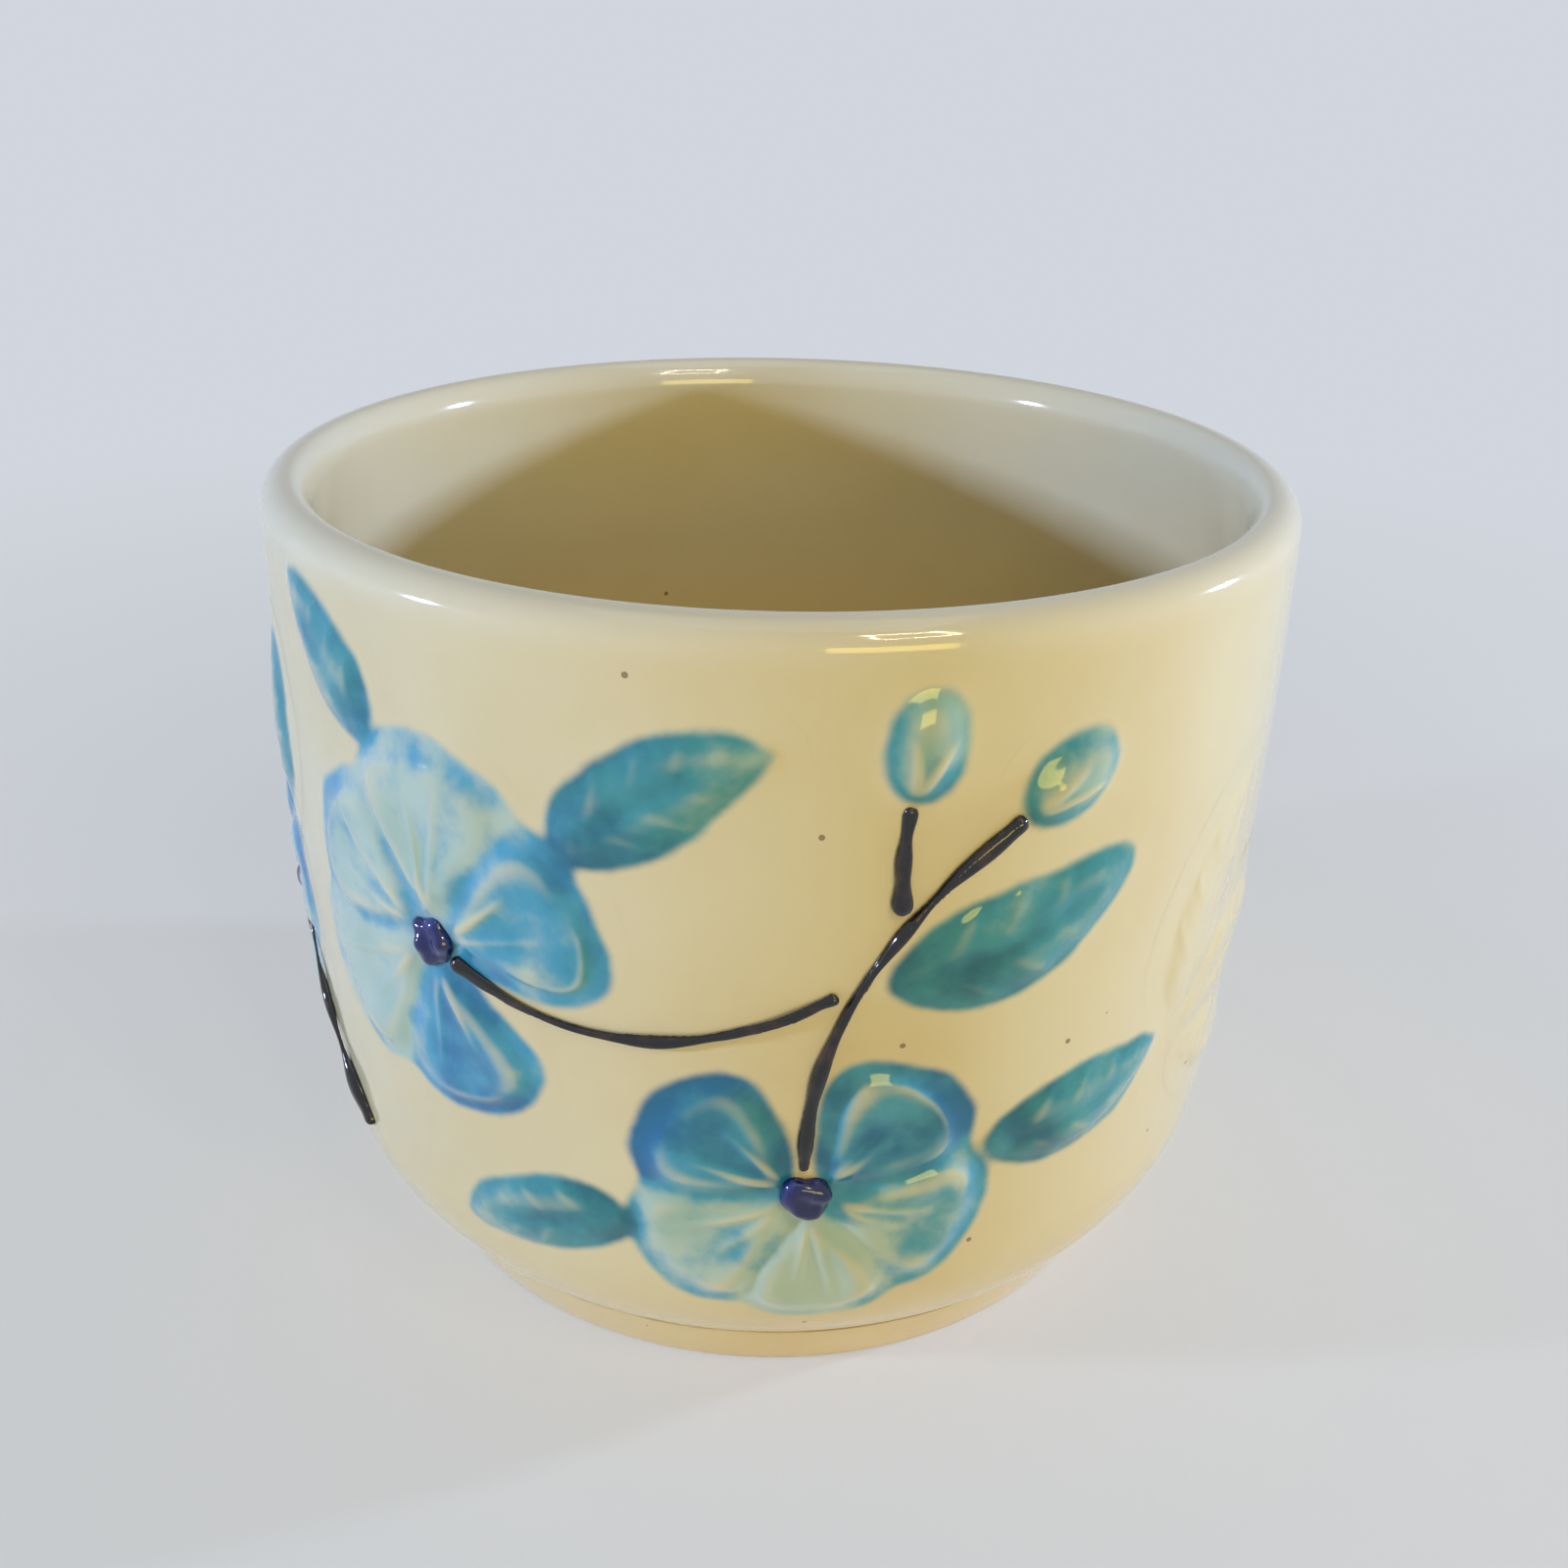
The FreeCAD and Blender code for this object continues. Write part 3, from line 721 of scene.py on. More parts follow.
# %% How pale each piece is
PETAL_PALE_SHARES = {
    "upper_blossom": (0.2, 0.7, 0.5, 0.8, 0.0),
    "lower_blossom": (-0.15, 0.7, 0.85, 0.4, -0.1),
    "side_blossom": (0.2, 0.0, 0.35, 0.1, 0.45),
}
PETAL_PALE_RISE = 0.3
PETAL_PALE_SKEW = 1.6
LEAF_PALE_SHARES = (0.0, 0.55)
BUD_PALE_SHARES = (0.2, 0.95)


def pale_share_of(node):
    """How pale one piece is painted, from its root to its tip."""
    if node in petal_nodes:
        blossom, number = node.split("_petal_")
        share = np.clip(run_of(node, hearts_at[BLOSSOMS.index(blossom)])[0], 0, 1)
        middle_rise = PETAL_PALE_RISE * np.sin(np.pi * share ** PETAL_PALE_SKEW)
        return PETAL_PALE_SHARES[blossom][int(number) - 1] + middle_rise
    root_share, tip_share = BUD_PALE_SHARES if node in bud_nodes else LEAF_PALE_SHARES
    return root_share + (tip_share - root_share) * np.clip(run_of(node)[0], 0, 1)


# %% Paint on the skins
TINT_SPREAD = 0.0016
LEAST_WEIGHT = 1e-4

pale_sum = np.zeros((rows, columns))
leaf_sum = np.zeros((rows, columns))
weight_sum = np.full((rows, columns), LEAST_WEIGHT)
for node in painted_nodes:
    weight = np.clip(soften(cover_of([node]), TINT_SPREAD), 0, None)
    pale_sum += weight * pale_share_of(node)
    leaf_sum += weight * (node not in petal_nodes)
    weight_sum += weight

paint_maps = {
    "wash": wash_map,
    "pale": pale_sum / weight_sum,
    "leaf": leaf_sum / weight_sum,
    "pool": pool_map,
}
for piece in blossoms + painted_leaves + buds + plain_leaves:
    places = unrolled(mesh_points(piece))
    for name, layer in paint_maps.items():
        note(piece, name, sample(layer, places))
for name, layer in paint_maps.items():
    print(f"{name} from {layer.min():.2f} to {layer.max():.2f}")

# %% [markdown]
# ## Trailed slip
# The stems are trailed from a slip bottle and the hearts of the blossoms are dabbed on, last of all and
# thick, so they stand on the rest with a crisp edge.  Each starts as a copy of its node.  A voxel
# Remesh turns the copy into an even skin and Smooth draws it round as wet slip would be.  One Displace
# swells the ends, where the bottle is set down and lifted, another with a cloud texture gives the beads
# and thin places of an unsteady hand, and a last Smooth lets it all settle.  A bevelled curve would be
# quicker, but its width could only change along its length.


# %% A copy of a node
def own_copy(name, node):
    """A copy of a node without the frame's marks, its loose triangles joined, as the active object."""
    deselect_all()
    piece = frame["nodes"][node].copy()
    piece.data = piece.data.copy()
    piece.parent = None
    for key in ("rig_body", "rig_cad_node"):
        del piece[key]
    piece.name = name
    scene.collection.objects.link(piece)
    piece.select_set(True)
    bpy.context.view_layer.objects.active = piece
    bpy.ops.object.mode_set(mode="EDIT")
    bpy.ops.mesh.select_all(action="SELECT")
    bpy.ops.mesh.remove_doubles(threshold=MERGE_DISTANCE)
    bpy.ops.object.mode_set(mode="OBJECT")
    return piece


# %% Beads of slip
SLIP_VOXEL = 0.00016
SLIP_SMOOTHING = 0.5
ROUND_PASSES = 6
SETTLE_PASSES = 4
BLOB_REACH = 0.0013
CLOUD_MIDDLE = 0.5


def bead_texture(name, size):
    """Soft clouds of this size, for beads and thin places."""
    texture = bpy.data.textures.new(name, "CLOUDS")
    texture.noise_scale = size
    texture.noise_depth = 0
    return texture


def end_weights(points):
    """One at the two ends of a trail, falling to zero along it."""
    far = points[np.argmax(np.linalg.norm(points - points.mean(0), axis=1))]
    other = points[np.argmax(np.linalg.norm(points - far, axis=1))]
    ends = [np.linalg.norm(points - end, axis=1) for end in (far, other)]
    return bell(np.min(ends, 0), BLOB_REACH)


def slip_piece(name, node, texture, uneven, draw_in, end_swell):
    """A bead of slip in place of a node, uneven, drawn in and swollen at its ends by these lengths."""
    piece = own_copy(name, node)
    apply_modifier(piece, "REMESH", mode="VOXEL", voxel_size=SLIP_VOXEL)
    apply_modifier(piece, "SMOOTH", factor=SLIP_SMOOTHING, iterations=ROUND_PASSES)
    blobs = weigh(piece, "blobs", end_weights(mesh_points(piece)))
    apply_modifier(piece, "DISPLACE", vertex_group=blobs, mid_level=0, strength=end_swell)
    apply_modifier(piece, "DISPLACE", texture=texture, texture_coords="LOCAL",
                   mid_level=CLOUD_MIDDLE + draw_in / uneven, strength=uneven)
    apply_modifier(piece, "SMOOTH", factor=SLIP_SMOOTHING, iterations=SETTLE_PASSES)
    bpy.ops.object.shade_smooth()
    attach(piece, "root")
    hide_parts(node)
    print(f"{name}: {len(piece.data.polygons)} faces")
    return piece


# %% Stems and hearts
STEM_BEAD = 0.0085
STEM_UNEVEN = 0.0016
STEM_DRAW_IN = 0.00014
STEM_END_SWELL = 0.0006
HEART_BEAD = 0.0024
HEART_UNEVEN = 0.0015
HEART_DRAW_IN = 0.0
HEART_END_SWELL = 0.0002

stem_beads = bead_texture("stem_beads", STEM_BEAD)
heart_beads = bead_texture("heart_beads", HEART_BEAD)
stems = [
    slip_piece(f"trailed_{node}", node, stem_beads,
               STEM_UNEVEN, STEM_DRAW_IN, STEM_END_SWELL)
    for node in stem_nodes
]
hearts = [
    slip_piece(f"dabbed_{node}", node, heart_beads,
               HEART_UNEVEN, HEART_DRAW_IN, HEART_END_SWELL)
    for node in heart_nodes
]

# %% [markdown]
# ## Materials
# All the finishes lie under one clear, glossy glaze, so what they share is built once as node groups:
# the ivory body with its mottling, specks and gentle waves, and the wash of colour that is laid on it.
# Each material places the groups that it needs and fills them with the values kept on its own
# vertices.  A few helpers keep the node code as short as a recipe.


# %% Placing nodes
def place(tree, kind, sockets=None, **settings):
    """Add a node, set it up, and fill its sockets with values or with links."""
    made = tree.nodes.new(kind)
    for name, value in settings.items():
        setattr(made, name, value)
    for name, value in (sockets or {}).items():
        if isinstance(value, bpy.types.NodeSocket):
            tree.links.new(value, made.inputs[name])
        else:
            made.inputs[name].default_value = value
    return made


def maths(tree, operation, first, second=0.0, clamp=False):
    """The result of a sum on one or two values."""
    made = place(tree, "ShaderNodeMath", {0: first, 1: second}, operation=operation, use_clamp=clamp)
    return made.outputs[0]


def opposite(tree, mask):
    """One minus a mask."""
    return maths(tree, "SUBTRACT", 1.0, mask)


def ramp(tree, value, start, end):
    """A smooth step from 0 to 1 as a value goes from start to end."""
    made = place(tree, "ShaderNodeMapRange", {"Value": value, "From Min": start, "From Max": end},
                 interpolation_type="SMOOTHSTEP")
    return made.outputs[0]


def spread_over(tree, value, low, high):
    """A value from 0 to 1 spread evenly from low to high."""
    return place(tree, "ShaderNodeMapRange", {"Value": value, "To Min": low, "To Max": high}).outputs[0]


def mixed(tree, share, first, second):
    """Two colours mixed.  The node has sockets for each kind of value, so these go by number."""
    made = place(tree, "ShaderNodeMix", {0: share, 6: first, 7: second}, data_type="RGBA")
    return made.outputs[2]


def clouds(tree, position, scale, detail):
    """Soft noise about one half."""
    made = place(tree, "ShaderNodeTexNoise", {"Vector": position, "Scale": scale, "Detail": detail})
    return made.outputs["Fac"]


# %% Colours and groups
def colour(red, green, blue):
    """A colour from its display values, from 0 to 255, as the light that Blender mixes."""
    shares = [value / 255 for value in (red, green, blue)]
    light = [share / 12.92 if share <= 0.04045 else ((share + 0.055) / 1.055) ** 2.4 for share in shares]
    return (*light, 1.0)


def new_group(name, inputs, outputs):
    """A shader node group with named sockets, its two end nodes, and the place on the surface."""
    group = bpy.data.node_groups.new(name, "ShaderNodeTree")
    for way, sockets in (("INPUT", inputs), ("OUTPUT", outputs)):
        for socket, kind in sockets.items():
            group.interface.new_socket(name=socket, in_out=way, socket_type="NodeSocket" + kind)
    position = place(group, "ShaderNodeTexCoord").outputs["Object"]
    return group, group.nodes.new("NodeGroupInput"), group.nodes.new("NodeGroupOutput"), position


# %% [markdown]
# ### The ivory glaze
# The body is a warm ivory under a clear glaze.  Close up it is not one colour: it clouds a little, thins
# to a paler tone on the lip, deepens where it ran thick towards the foot, has a few iron specks and
# pinholes, and keeps a fine line of dirt in the crease over the foot.  Down inside the bowl it is deepened
# to a darker yellow as painted shade.  The ring that the pot stands on is wiped bare, and is matt.  It
# could be painted on an image, but noise on Object coordinates needs no layout and runs on from the bowl
# to the skins without a break.

# %% Ivory tones
IVORY = colour(240, 230, 190)
IVORY_PALE = colour(243, 237, 211)
IVORY_WARM = colour(236, 221, 174)
# The deepest tone: glaze run thick near the foot, and painted shade down inside the bowl.
IVORY_POOL_AND_SHADE = colour(234, 204, 112)
CLOUD_SCALE = 28.0
CLOUD_DETAIL = 3.0
CLOUD_LEVELS = (0.35, 0.7)
LIP_THIN_FROM = 0.006
LIP_THIN_TO = 0.001
LIP_PALE_SHARE = 0.7
INSIDE_PALE_SHARE = 0.3
RUN_DOWN_HEIGHT = 0.034
RUN_DOWN_SHARE = 0.5


def ivory_tone(group, entry, position, height):
    """Clouded ivory, paler on the lip and inside, deeper where the glaze ran thick towards the foot, and
    deepened down inside the bowl as painted shade.
    """
    cloudy = clouds(group, position, CLOUD_SCALE, CLOUD_DETAIL)
    tone = mixed(group, ramp(group, cloudy, *CLOUD_LEVELS), IVORY, IVORY_WARM)
    thin = ramp(group, height, pot_height - LIP_THIN_FROM, pot_height - LIP_THIN_TO)
    tone = mixed(group, maths(group, "MULTIPLY", thin, LIP_PALE_SHARE), tone, IVORY_PALE)
    inner = maths(group, "MULTIPLY", entry.outputs["Inside"], INSIDE_PALE_SHARE)
    tone = mixed(group, inner, tone, IVORY_PALE)
    run_down = opposite(group, ramp(group, height, 0.0, RUN_DOWN_HEIGHT))
    run_down = maths(group, "MULTIPLY", run_down, RUN_DOWN_SHARE)
    # Painted shade: the lower the inside lies, the more its tone is pulled to the deepest one; near the foot
    # the glaze ran thick.
    return mixed(group, maths(group, "MAXIMUM", entry.outputs["Depth"], run_down), tone, IVORY_POOL_AND_SHADE)


# %% Iron specks
SPECK_BROWN = colour(120, 82, 48)
SPECK_SCALE = 200.0
SPECK_RARITY = 0.93
SPECK_SIZE = 0.075
SPECK_STRENGTH = 0.75


def iron_specks(group, position):
    """A mask of small dots, in a few of the cells of a random mosaic."""
    cells = place(group, "ShaderNodeTexVoronoi", {"Vector": position, "Scale": SPECK_SCALE})
    chosen = place(group, "ShaderNodeSeparateColor", {0: cells.outputs["Color"]}).outputs["Red"]
    few = maths(group, "GREATER_THAN", chosen, SPECK_RARITY)
    dot = maths(group, "LESS_THAN", cells.outputs["Distance"], maths(group, "MULTIPLY", chosen, SPECK_SIZE))
    return maths(group, "MULTIPLY", maths(group, "MULTIPLY", few, dot), SPECK_STRENGTH)


# %% Dirt in the crease, and the bare ring
CREASE_BROWN = colour(150, 126, 92)
CREASE_REACHES = (0.0002, 0.0007)
DIRT_SCALE = 95.0
DIRT_DETAIL = 4.0
DIRT_LEVELS = (0.42, 0.62)
DIRT_LEAST_SHARE = 0.35
DIRT_STRENGTH = 0.8
BARE_CLAY = colour(226, 214, 194)
BARE_HEIGHTS = (0.0002, 0.0008)


def crease_line(group, height):
    """A mask of the fine line where the bowl meets its foot."""
    away = maths(group, "ABSOLUTE", maths(group, "SUBTRACT", height, foot_height))
    return opposite(group, ramp(group, away, *CREASE_REACHES))


def crease_dirt(group, position, line):
    """A mask of the dirt in the crease, which comes and goes."""
    patchy = ramp(group, clouds(group, position, DIRT_SCALE, DIRT_DETAIL), *DIRT_LEVELS)
    patchy = maths(group, "ADD", DIRT_LEAST_SHARE, maths(group, "MULTIPLY", patchy, 1 - DIRT_LEAST_SHARE))
    return maths(group, "MULTIPLY", maths(group, "MULTIPLY", line, patchy), DIRT_STRENGTH)


# %% Ivory glaze group
GLAZE_COAT = 0.35
GLOSS_SCALE = 70.0
GLOSS_DETAIL = 2.0
GLAZE_ROUGHNESS = (0.06, 0.12)
DULL_ROUGHNESS = 0.55
WAVE_SCALE = 34.0
PEEL_SCALE = 420.0
PEEL_HEIGHT = 0.015
PIT_HEIGHT = -0.12
SMOOTH_DETAIL = 1.0


def ivory_glaze_group():
    """The tone, gloss, coat and fine waves of the ivory body."""
    # Depth sets how far painted shade darkens the tone inside the bowl.
    inputs = {"Inside": "Float", "Depth": "Float"}
    outputs = {"Color": "Color", "Roughness": "Float", "Coat": "Float", "Height": "Float"}
    group, entry, end, position = new_group("ivory_glaze_body", inputs, outputs)
    height = place(group, "ShaderNodeSeparateXYZ", {0: position}).outputs["Z"]
    speck = iron_specks(group, position)
    line = crease_line(group, height)
    bare = opposite(group, ramp(group, height, *BARE_HEIGHTS))
    dull = maths(group, "MAXIMUM", bare, line)

    tone = ivory_tone(group, entry, position, height)
    tone = mixed(group, speck, tone, SPECK_BROWN)
    tone = mixed(group, crease_dirt(group, position, line), tone, CREASE_BROWN)
    tone = mixed(group, bare, tone, BARE_CLAY)
    gloss = spread_over(group, clouds(group, position, GLOSS_SCALE, GLOSS_DETAIL), *GLAZE_ROUGHNESS)
    gloss = maths(group, "ADD", gloss, maths(group, "MULTIPLY", dull, DULL_ROUGHNESS))
    coat = maths(group, "MULTIPLY", opposite(group, dull), GLAZE_COAT)
    waves = clouds(group, position, WAVE_SCALE, SMOOTH_DETAIL)
    peel = maths(group, "MULTIPLY", clouds(group, position, PEEL_SCALE, SMOOTH_DETAIL), PEEL_HEIGHT)
    pits = maths(group, "MULTIPLY", speck, PIT_HEIGHT)
    relief = maths(group, "ADD", maths(group, "ADD", waves, peel), pits)
    for name, value in (("Color", tone), ("Roughness", gloss), ("Coat", coat), ("Height", relief)):
        group.links.new(value, end.inputs[name])
    return group


ivory_body = ivory_glaze_group()
print("ivory glaze group:", len(ivory_body.nodes), "nodes")

# %% How deep the inside lies, which sets its painted shade
INSIDE_MARGIN = 0.001
DEPTH_RATE = 1.5
DEPTH_DELAY = 0.3
DEPTH_MOST = 0.6

points = mesh_points(bowl)
inner_wall = wall_centre.x + np.sqrt(inner_radius ** 2 - (points[:, 2] - wall_centre.y) ** 2)
inside = np.hypot(points[:, 0], points[:, 1]) < inner_wall + INSIDE_MARGIN
inside &= points[:, 2] > floor_height - INSIDE_MARGIN
down = (pot_height - points[:, 2]) / (pot_height - floor_height)
note(bowl, "inside", inside)
# The depth is the mask of the painted shade that darkens the glaze down inside the bowl.
note(bowl, "depth", np.clip(down * DEPTH_RATE - DEPTH_DELAY, 0, DEPTH_MOST) * inside)
print(f"{inside.mean():.0%} of the bowl's vertices are inside")

# %% The glazed surface
WAVE_DEPTH = 0.00012
GLAZE_IOR = 1.52
GLAZE_COAT_ROUGHNESS = 0.03


def new_material(name):
    """A material with nodes, its tree and its shader."""
    material = bpy.data.materials.new(name)
    material.use_nodes = True
    return material, material.node_tree, material.node_tree.nodes["Principled BSDF"]


def clear_glaze(shader):
    """Set what is the same all over on every glazed surface."""
    shader.inputs["IOR"].default_value = GLAZE_IOR
    shader.inputs["Coat Roughness"].default_value = GLAZE_COAT_ROUGHNESS


def fill_from_vertices(tree, group, sockets):
    """Link inputs of a placed group to the values of the same names that the vertices keep."""
    for socket in sockets:
        value = place(tree, "ShaderNodeAttribute", attribute_name=socket.lower()).outputs["Fac"]
        tree.links.new(value, group.inputs[socket])


def ripple(tree, shader, height):
    """Let a height stir the surface of the glaze."""
    bump = place(tree, "ShaderNodeBump", {"Height": height, "Distance": WAVE_DEPTH})
    tree.links.new(bump.outputs["Normal"], shader.inputs["Normal"])


def glazed_material(name):
    """A material with the ivory body placed in it, and what is needed to add to it."""
    material, tree, shader = new_material(name)
    clear_glaze(shader)
    body = place(tree, "ShaderNodeGroup", node_tree=ivory_body)
    # Depth carries the painted shade inside the bowl.
    fill_from_vertices(tree, body, ("Inside", "Depth"))
    tree.links.new(body.outputs["Color"], shader.inputs["Base Color"])
    tree.links.new(body.outputs["Roughness"], shader.inputs["Roughness"])
    tree.links.new(body.outputs["Coat"], shader.inputs["Coat Weight"])
    ripple(tree, shader, body.outputs["Height"])
    return material, tree, shader, body


def wear(pieces, material):
    """Give pieces a material of their own in place of any they came with."""
    for piece in pieces:
        piece.data.materials.clear()
        piece.data.materials.append(material)
    print(f"pieces in {material.name}: {len(pieces)}")


ivory_glaze = glazed_material("ivory_glaze")[0]
wear([bowl, foot] + plain_leaves, ivory_glaze)

# %% [markdown]
# ### Washes of colour
# A wash is thin colour from a full brush.  It ends in a soft, wavering edge, it comes and goes with the
# strokes, it gathers in the hollows, and the glaze runs off the ridges and leaves them nearly white.
# One group does all of this for petals, leaves and buds, because the values on the vertices say which
# is which, and two wet colours can then run into each other where they meet.

# %% Wash colours
PETAL_BLUE = (colour(10, 116, 172), colour(74, 172, 208), colour(194, 218, 204))
LEAF_TEAL = (colour(6, 108, 132), colour(58, 158, 172), colour(158, 200, 186))
GREEN_SCALE = 95.0
GREEN_DETAIL = 1.0
GREEN_MIDDLE = 0.48
GREEN_DRIFT = 2.2
THIN_TO_MIDDLE = (0.0, 0.5)
MIDDLE_TO_DEEP = (0.42, 1.0)


def wash_tone(group, entry, position, strength):
    """Thin, middle or deep colour by the strength of the wash, drifting between blue and teal."""
    drift = maths(group, "SUBTRACT", clouds(group, position, GREEN_SCALE, GREEN_DETAIL), GREEN_MIDDLE)
    drift = maths(group, "MULTIPLY", drift, GREEN_DRIFT)
    green = maths(group, "ADD", entry.outputs["Leaf"], drift, clamp=True)
    deep, middle, thin = (mixed(group, green, blue, teal) for blue, teal in zip(PETAL_BLUE, LEAF_TEAL))
    tone = mixed(group, ramp(group, strength, *THIN_TO_MIDDLE), thin, middle)
    return mixed(group, ramp(group, strength, *MIDDLE_TO_DEEP), tone, deep)


# %% Wash group
NOISE_MIDDLE = 0.5
WASH_DETAIL = 4.0
WAVER_SCALE = 210.0
WAVER_SHARE = 0.5
WASH_LEVELS = (0.08, 0.86)
WASH_END_LEVELS = (0.01, 0.12)
STROKE_SCALE = 130.0
STROKE_SHARE = 1.5
WASH_STRENGTH = 0.78
POOL_STRENGTH = 0.3
PALE_STRENGTH = 0.76
RIDGE_LEVELS = (0.2, 1.0)
RIDGE_BARE_SHARE = 0.62


def uneven(group, position, scale, share):
    """Noise about zero, by this share."""
    noise = maths(group, "SUBTRACT", clouds(group, position, scale, WASH_DETAIL), NOISE_MIDDLE)
    return maths(group, "MULTIPLY", noise, share)


def wash_group():
    """The colour of the ground with a wash on it."""
    inputs = {"Ground": "Color", "Wash": "Float", "Pale": "Float", "Leaf": "Float", "Pool": "Float"}
    group, entry, end, position = new_group("wash_under_glaze", inputs, {"Color": "Color"})
    wash = entry.outputs["Wash"]
    edge = maths(group, "ADD", wash, uneven(group, position, WAVER_SCALE, WAVER_SHARE))
    mask = maths(group, "MULTIPLY", ramp(group, edge, *WASH_LEVELS), ramp(group, wash, *WASH_END_LEVELS))

    pool = entry.outputs["Pool"]
    strength = maths(group, "ADD", WASH_STRENGTH, uneven(group, position, STROKE_SCALE, STROKE_SHARE))
    strength = maths(group, "ADD", strength, maths(group, "MULTIPLY", pool, POOL_STRENGTH))
    pale = maths(group, "MULTIPLY", entry.outputs["Pale"], PALE_STRENGTH)
    strength = maths(group, "SUBTRACT", strength, pale, clamp=True)
    tone = wash_tone(group, entry, position, strength)

    ridge = ramp(group, maths(group, "MULTIPLY", pool, -1.0), *RIDGE_LEVELS)
    bared = opposite(group, maths(group, "MULTIPLY", ridge, RIDGE_BARE_SHARE))
    laid = maths(group, "MULTIPLY", mask, bared)
    group.links.new(mixed(group, laid, entry.outputs["Ground"], tone), end.inputs["Color"])
    return group


wash_under_glaze = wash_group()
print("wash group:", len(wash_under_glaze.nodes), "nodes")


# %% Painted pieces
def wash_material(name):
    """Ivory glaze with a wash of colour under it, where the vertices say it lies."""
    material, tree, shader, body = glazed_material(name)
    wash = place(tree, "ShaderNodeGroup", {"Ground": body.outputs["Color"]}, node_tree=wash_under_glaze)
    fill_from_vertices(tree, wash, ("Wash", "Pale", "Leaf", "Pool"))
    tree.links.new(wash.outputs["Color"], shader.inputs["Base Color"])
    return material


wear(blossoms + painted_leaves + buds, wash_material("painted_wash"))

# %% [markdown]
# ### Slip
# The trailed stems are a black slip that turns brown where it is thin, and the hearts are a navy dab,
# both under the same glaze.  Noise picks the thin places.  They differ only in their colours and in how
# fine the patches are, so one function makes both.

# %% Slip materials
SLIP_ROUGHNESS = (0.05, 0.14)
SLIP_DETAIL = 3.0
SLIP_THIN_LEVELS = (0.52, 0.72)
STEM_BLACK = (colour(9, 7, 8), colour(58, 34, 24))
STEM_PATCH_SCALE = 420.0
HEART_NAVY = (colour(14, 26, 104), colour(36, 66, 152))
HEART_PATCH_SCALE = 520.0


def slip_material(name, tones, scale):
    """Glazed slip in a thick and a thin tone, in patches."""
    material, tree, shader = new_material(name)
    clear_glaze(shader)
    shader.inputs["Coat Weight"].default_value = GLAZE_COAT
    position = place(tree, "ShaderNodeTexCoord").outputs["Object"]
    patchy = clouds(tree, position, scale, SLIP_DETAIL)
    tree.links.new(mixed(tree, ramp(tree, patchy, *SLIP_THIN_LEVELS), *tones), shader.inputs["Base Color"])
    tree.links.new(spread_over(tree, patchy, *SLIP_ROUGHNESS), shader.inputs["Roughness"])
    ripple(tree, shader, patchy)
    return material


wear(stems, slip_material("black_slip", STEM_BLACK, STEM_PATCH_SCALE))
wear(hearts, slip_material("navy_slip", HEART_NAVY, HEART_PATCH_SCALE))

# %% [markdown]
# ## Floor and light
# The pot stands on a plain pale sweep, a floor that curves up into a wall, so that no line shows where
# the two meet.  Two small cool lamps light it low from both sides, so the rim throws a shadow with two
# edges into the pot, and wide dim panels beside them soften the turn of the wall.  A warm panel fills
# the front, a pale one overhead opens the shadows, and a frame of thin strips gives the crisp
# highlights that show gloss.  One large panel would be simpler, but glaze shows what it reflects.

# %% Sweep
SWEEP_WIDTH = 5.0
SWEEP_FRONT = -2.5
SWEEP_BACK = 0.7
SWEEP_ROUND = 0.5
SWEEP_TOP = 2.2
SWEEP_STEPS = 24


def sweep():
    """A floor that curves up into a wall, drawn as a line and extruded sideways."""
    bend = Vector((SWEEP_BACK, SWEEP_ROUND))
    line = [Vector((SWEEP_FRONT, 0))]
    line += arc(bend, Vector((SWEEP_BACK, 0)), Vector((SWEEP_BACK + SWEEP_ROUND, SWEEP_ROUND)), SWEEP_STEPS)
    line += [Vector((SWEEP_BACK + SWEEP_ROUND, SWEEP_TOP))]
    made = drawn_line("sweep", [Vector((-SWEEP_WIDTH / 2, point.x, point.y)) for point in line])
    bpy.ops.mesh.extrude_region_move(TRANSFORM_OT_translate={"value": (SWEEP_WIDTH, 0, 0)})
    bpy.ops.object.mode_set(mode="OBJECT")
    bpy.ops.object.shade_smooth()
    return made


# %% Sweep colour
SWEEP_COLOUR = colour(248, 238, 216)
SWEEP_ROUGHNESS = 0.6
SWEEP_SEEN = colour(209, 214, 222)
GLOW_NEAR = 0.6
GLOW_START = 0.06
GLOW_FULL = 0.5


def is_seen(tree):
    """One for rays that show the background: from the camera, off gloss or through glass."""
    path = place(tree, "ShaderNodeLightPath")
    seen = maths(tree, "MAXIMUM", path.outputs["Is Camera Ray"], path.outputs["Is Glossy Ray"])
    return maths(tree, "MAXIMUM", seen, path.outputs["Is Transmission Ray"])


def sweep_material():
    """Pale paper that keeps its shadow near the pot and is seen as evenly lit away from it."""
    material, tree, shader = new_material("pale_sweep")
    shader.inputs["Base Color"].default_value = SWEEP_COLOUR
    shader.inputs["Roughness"].default_value = SWEEP_ROUGHNESS
    position = place(tree, "ShaderNodeTexCoord").outputs["Object"]
    distance = place(tree, "ShaderNodeVectorMath", {0: position}, operation="LENGTH").outputs["Value"]
    away = ramp(tree, distance, GLOW_START, GLOW_FULL)
    away = maths(tree, "ADD", GLOW_NEAR, maths(tree, "MULTIPLY", away, 1 - GLOW_NEAR))
    glow = place(tree, "ShaderNodeEmission", {"Color": SWEEP_SEEN})
    blend = place(tree, "ShaderNodeMixShader", {
        0: maths(tree, "MULTIPLY", is_seen(tree), away), 1: shader.outputs[0], 2: glow.outputs[0]})
    tree.links.new(blend.outputs[0], tree.nodes["Material Output"].inputs["Surface"])
    return material


wear([sweep()], sweep_material())

# %% Light
AIM = Vector((0, 0, 0.06))
COOL = (0.5, 0.64, 1.0)
WARM = (1.0, 0.75, 0.1)
PALE_GOLD = (1.0, 0.85, 0.55)
PALE_BLUE = (0.8, 0.9, 1.0)


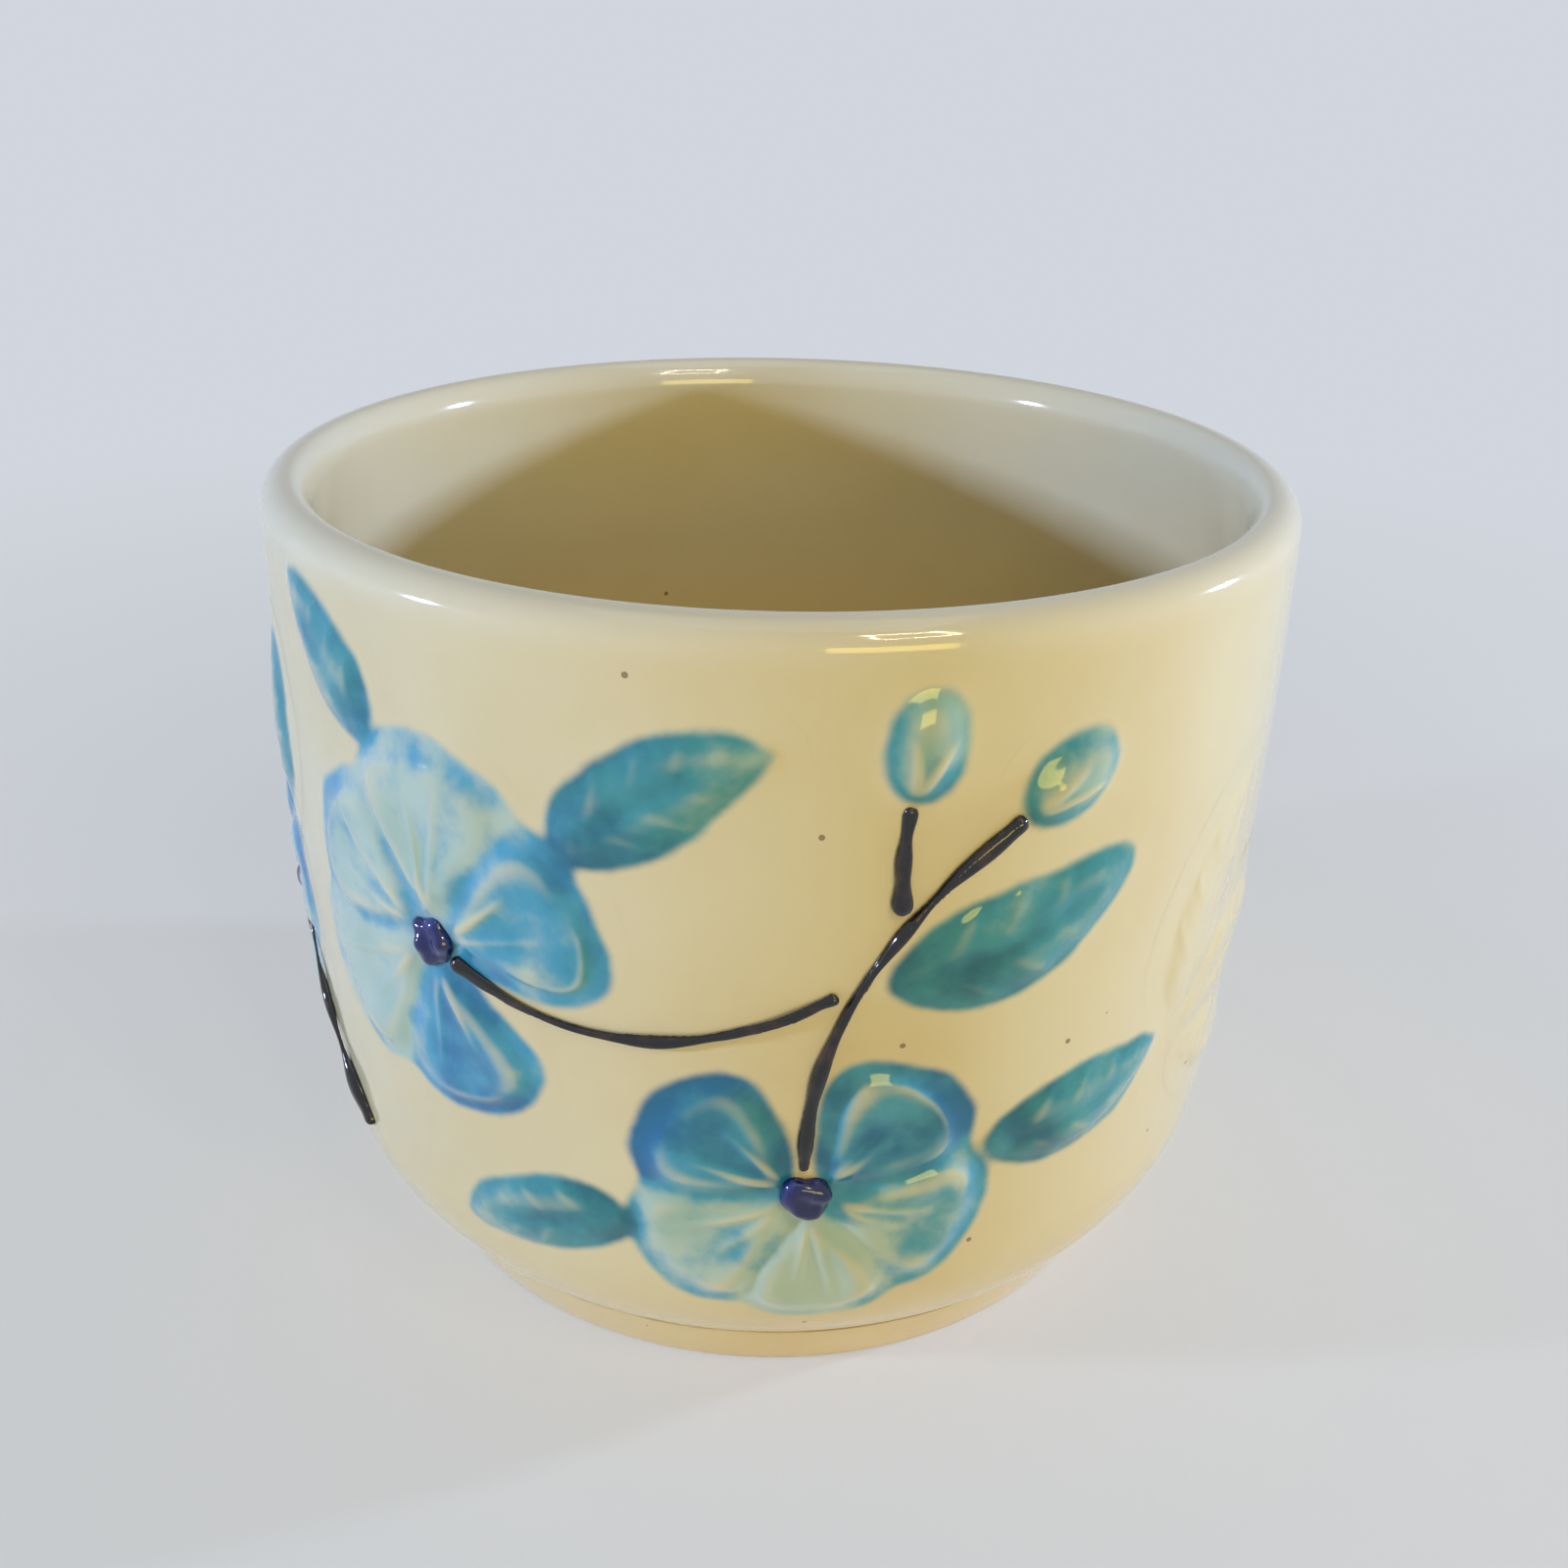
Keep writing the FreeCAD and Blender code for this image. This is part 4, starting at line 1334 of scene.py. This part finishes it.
def panel(name, turn, rise, distance, size, power, tint):
    """A soft panel of light round the pot, turned from the front and facing the pot."""
    data = bpy.data.lights.new(name, "AREA")
    data.shape = "RECTANGLE"
    data.size, data.size_y = size
    data.energy = power
    data.color = tint
    lamp = bpy.data.objects.new(name, data)
    scene.collection.objects.link(lamp)
    angle = math.radians(turn)
    lift = math.radians(rise)
    away = Vector((math.sin(angle) * math.cos(lift), -math.cos(angle) * math.cos(lift), math.sin(lift)))
    lamp.location = AIM + away * distance
    lamp.rotation_euler = away.to_track_quat("Z", "Y").to_euler()
    print(f"{name}: {power} W from {distance} m")


panel("left_key", turn=-74, rise=13, distance=0.75, size=(0.05, 0.05), power=3.8, tint=COOL)
panel("left_wall", turn=-85, rise=4, distance=0.6, size=(0.8, 0.3), power=0.2, tint=COOL)
panel("right_key", turn=100, rise=13, distance=0.75, size=(0.05, 0.05), power=4.5, tint=COOL)
panel("right_wall", turn=100, rise=4, distance=0.8, size=(0.9, 0.3), power=0.1, tint=COOL)
panel("front_fill", turn=22, rise=8, distance=1.1, size=(0.5, 0.3), power=2.5, tint=WARM)
panel("overhead", turn=0, rise=86, distance=0.9, size=(0.7, 0.7), power=1.0, tint=PALE_BLUE)

# %% A frame of thin strips, for crisp highlights
FRAME_TURN = 30
FRAME_RISE = 44
FRAME_HALF_WIDTH = 9
FRAME_HALF_HEIGHT = 6
FRAME_DISTANCE = 0.7
STRIP_WIDTH = 0.0045
STRIP_LENGTH = 0.15
STRIP_POWER = 0.22

for number, (turn_side, rise_side) in enumerate(((-1, 0), (1, 0), (0, -1), (0, 1)), start=1):
    turn = FRAME_TURN + turn_side * FRAME_HALF_WIDTH
    rise = FRAME_RISE + rise_side * FRAME_HALF_HEIGHT
    size = (STRIP_WIDTH, STRIP_LENGTH) if rise_side == 0 else (STRIP_LENGTH, STRIP_WIDTH)
    panel(f"frame_strip_{number}", turn, rise, FRAME_DISTANCE, size, STRIP_POWER, PALE_GOLD)

# %% Room
ROOM_SEEN = 1.0
ROOM_GLOW = 0.052

scene.world = bpy.data.worlds.new("soft_room")
scene.world.use_nodes = True
room = scene.world.node_tree
background = room.nodes["Background"]
background.inputs["Color"].default_value = SWEEP_SEEN
room.links.new(spread_over(room, is_seen(room), ROOM_GLOW, ROOM_SEEN), background.inputs["Strength"])
print(f"the room glows at {ROOM_GLOW} and is seen at {ROOM_SEEN}")

# %% [markdown]
# ## Camera
# The camera looks down on the pot from close by, turned a little about its own line of sight.  A Track
# To constraint could aim it, but it can't hold that roll.  So the three directions of the camera are
# worked out and set as its matrix.

# %% Camera
CAMERA_PLACE = Vector((0.0, -0.2147, 0.1625))
CAMERA_FORWARD = Vector((0.0052, 0.9017, -0.4323)).normalized()
CAMERA_ROLL = 0.0232
IMAGE_WIDTH = 1600
FOCAL_PIXELS = 1650
SENSOR_WIDTH = 36.0
CLIP_START = 0.01

level_right = CAMERA_FORWARD.cross(Vector((0, 0, 1))).normalized()
level_up = level_right.cross(CAMERA_FORWARD)
right = level_right * math.cos(CAMERA_ROLL) + level_up * math.sin(CAMERA_ROLL)
upward = level_up * math.cos(CAMERA_ROLL) - level_right * math.sin(CAMERA_ROLL)
camera_data = bpy.data.cameras.new("camera")
camera_data.sensor_width = SENSOR_WIDTH
camera_data.lens = FOCAL_PIXELS / IMAGE_WIDTH * SENSOR_WIDTH
camera_data.clip_start = CLIP_START
camera = bpy.data.objects.new("camera", camera_data)
scene.collection.objects.link(camera)
turned = Matrix((right, upward, -CAMERA_FORWARD)).transposed().to_4x4()
camera.matrix_world = Matrix.Translation(CAMERA_PLACE) @ turned
scene.camera = camera
print(f"lens {camera_data.lens:.1f} mm, {CAMERA_PLACE.length:.3f} m from the foot of the axis")
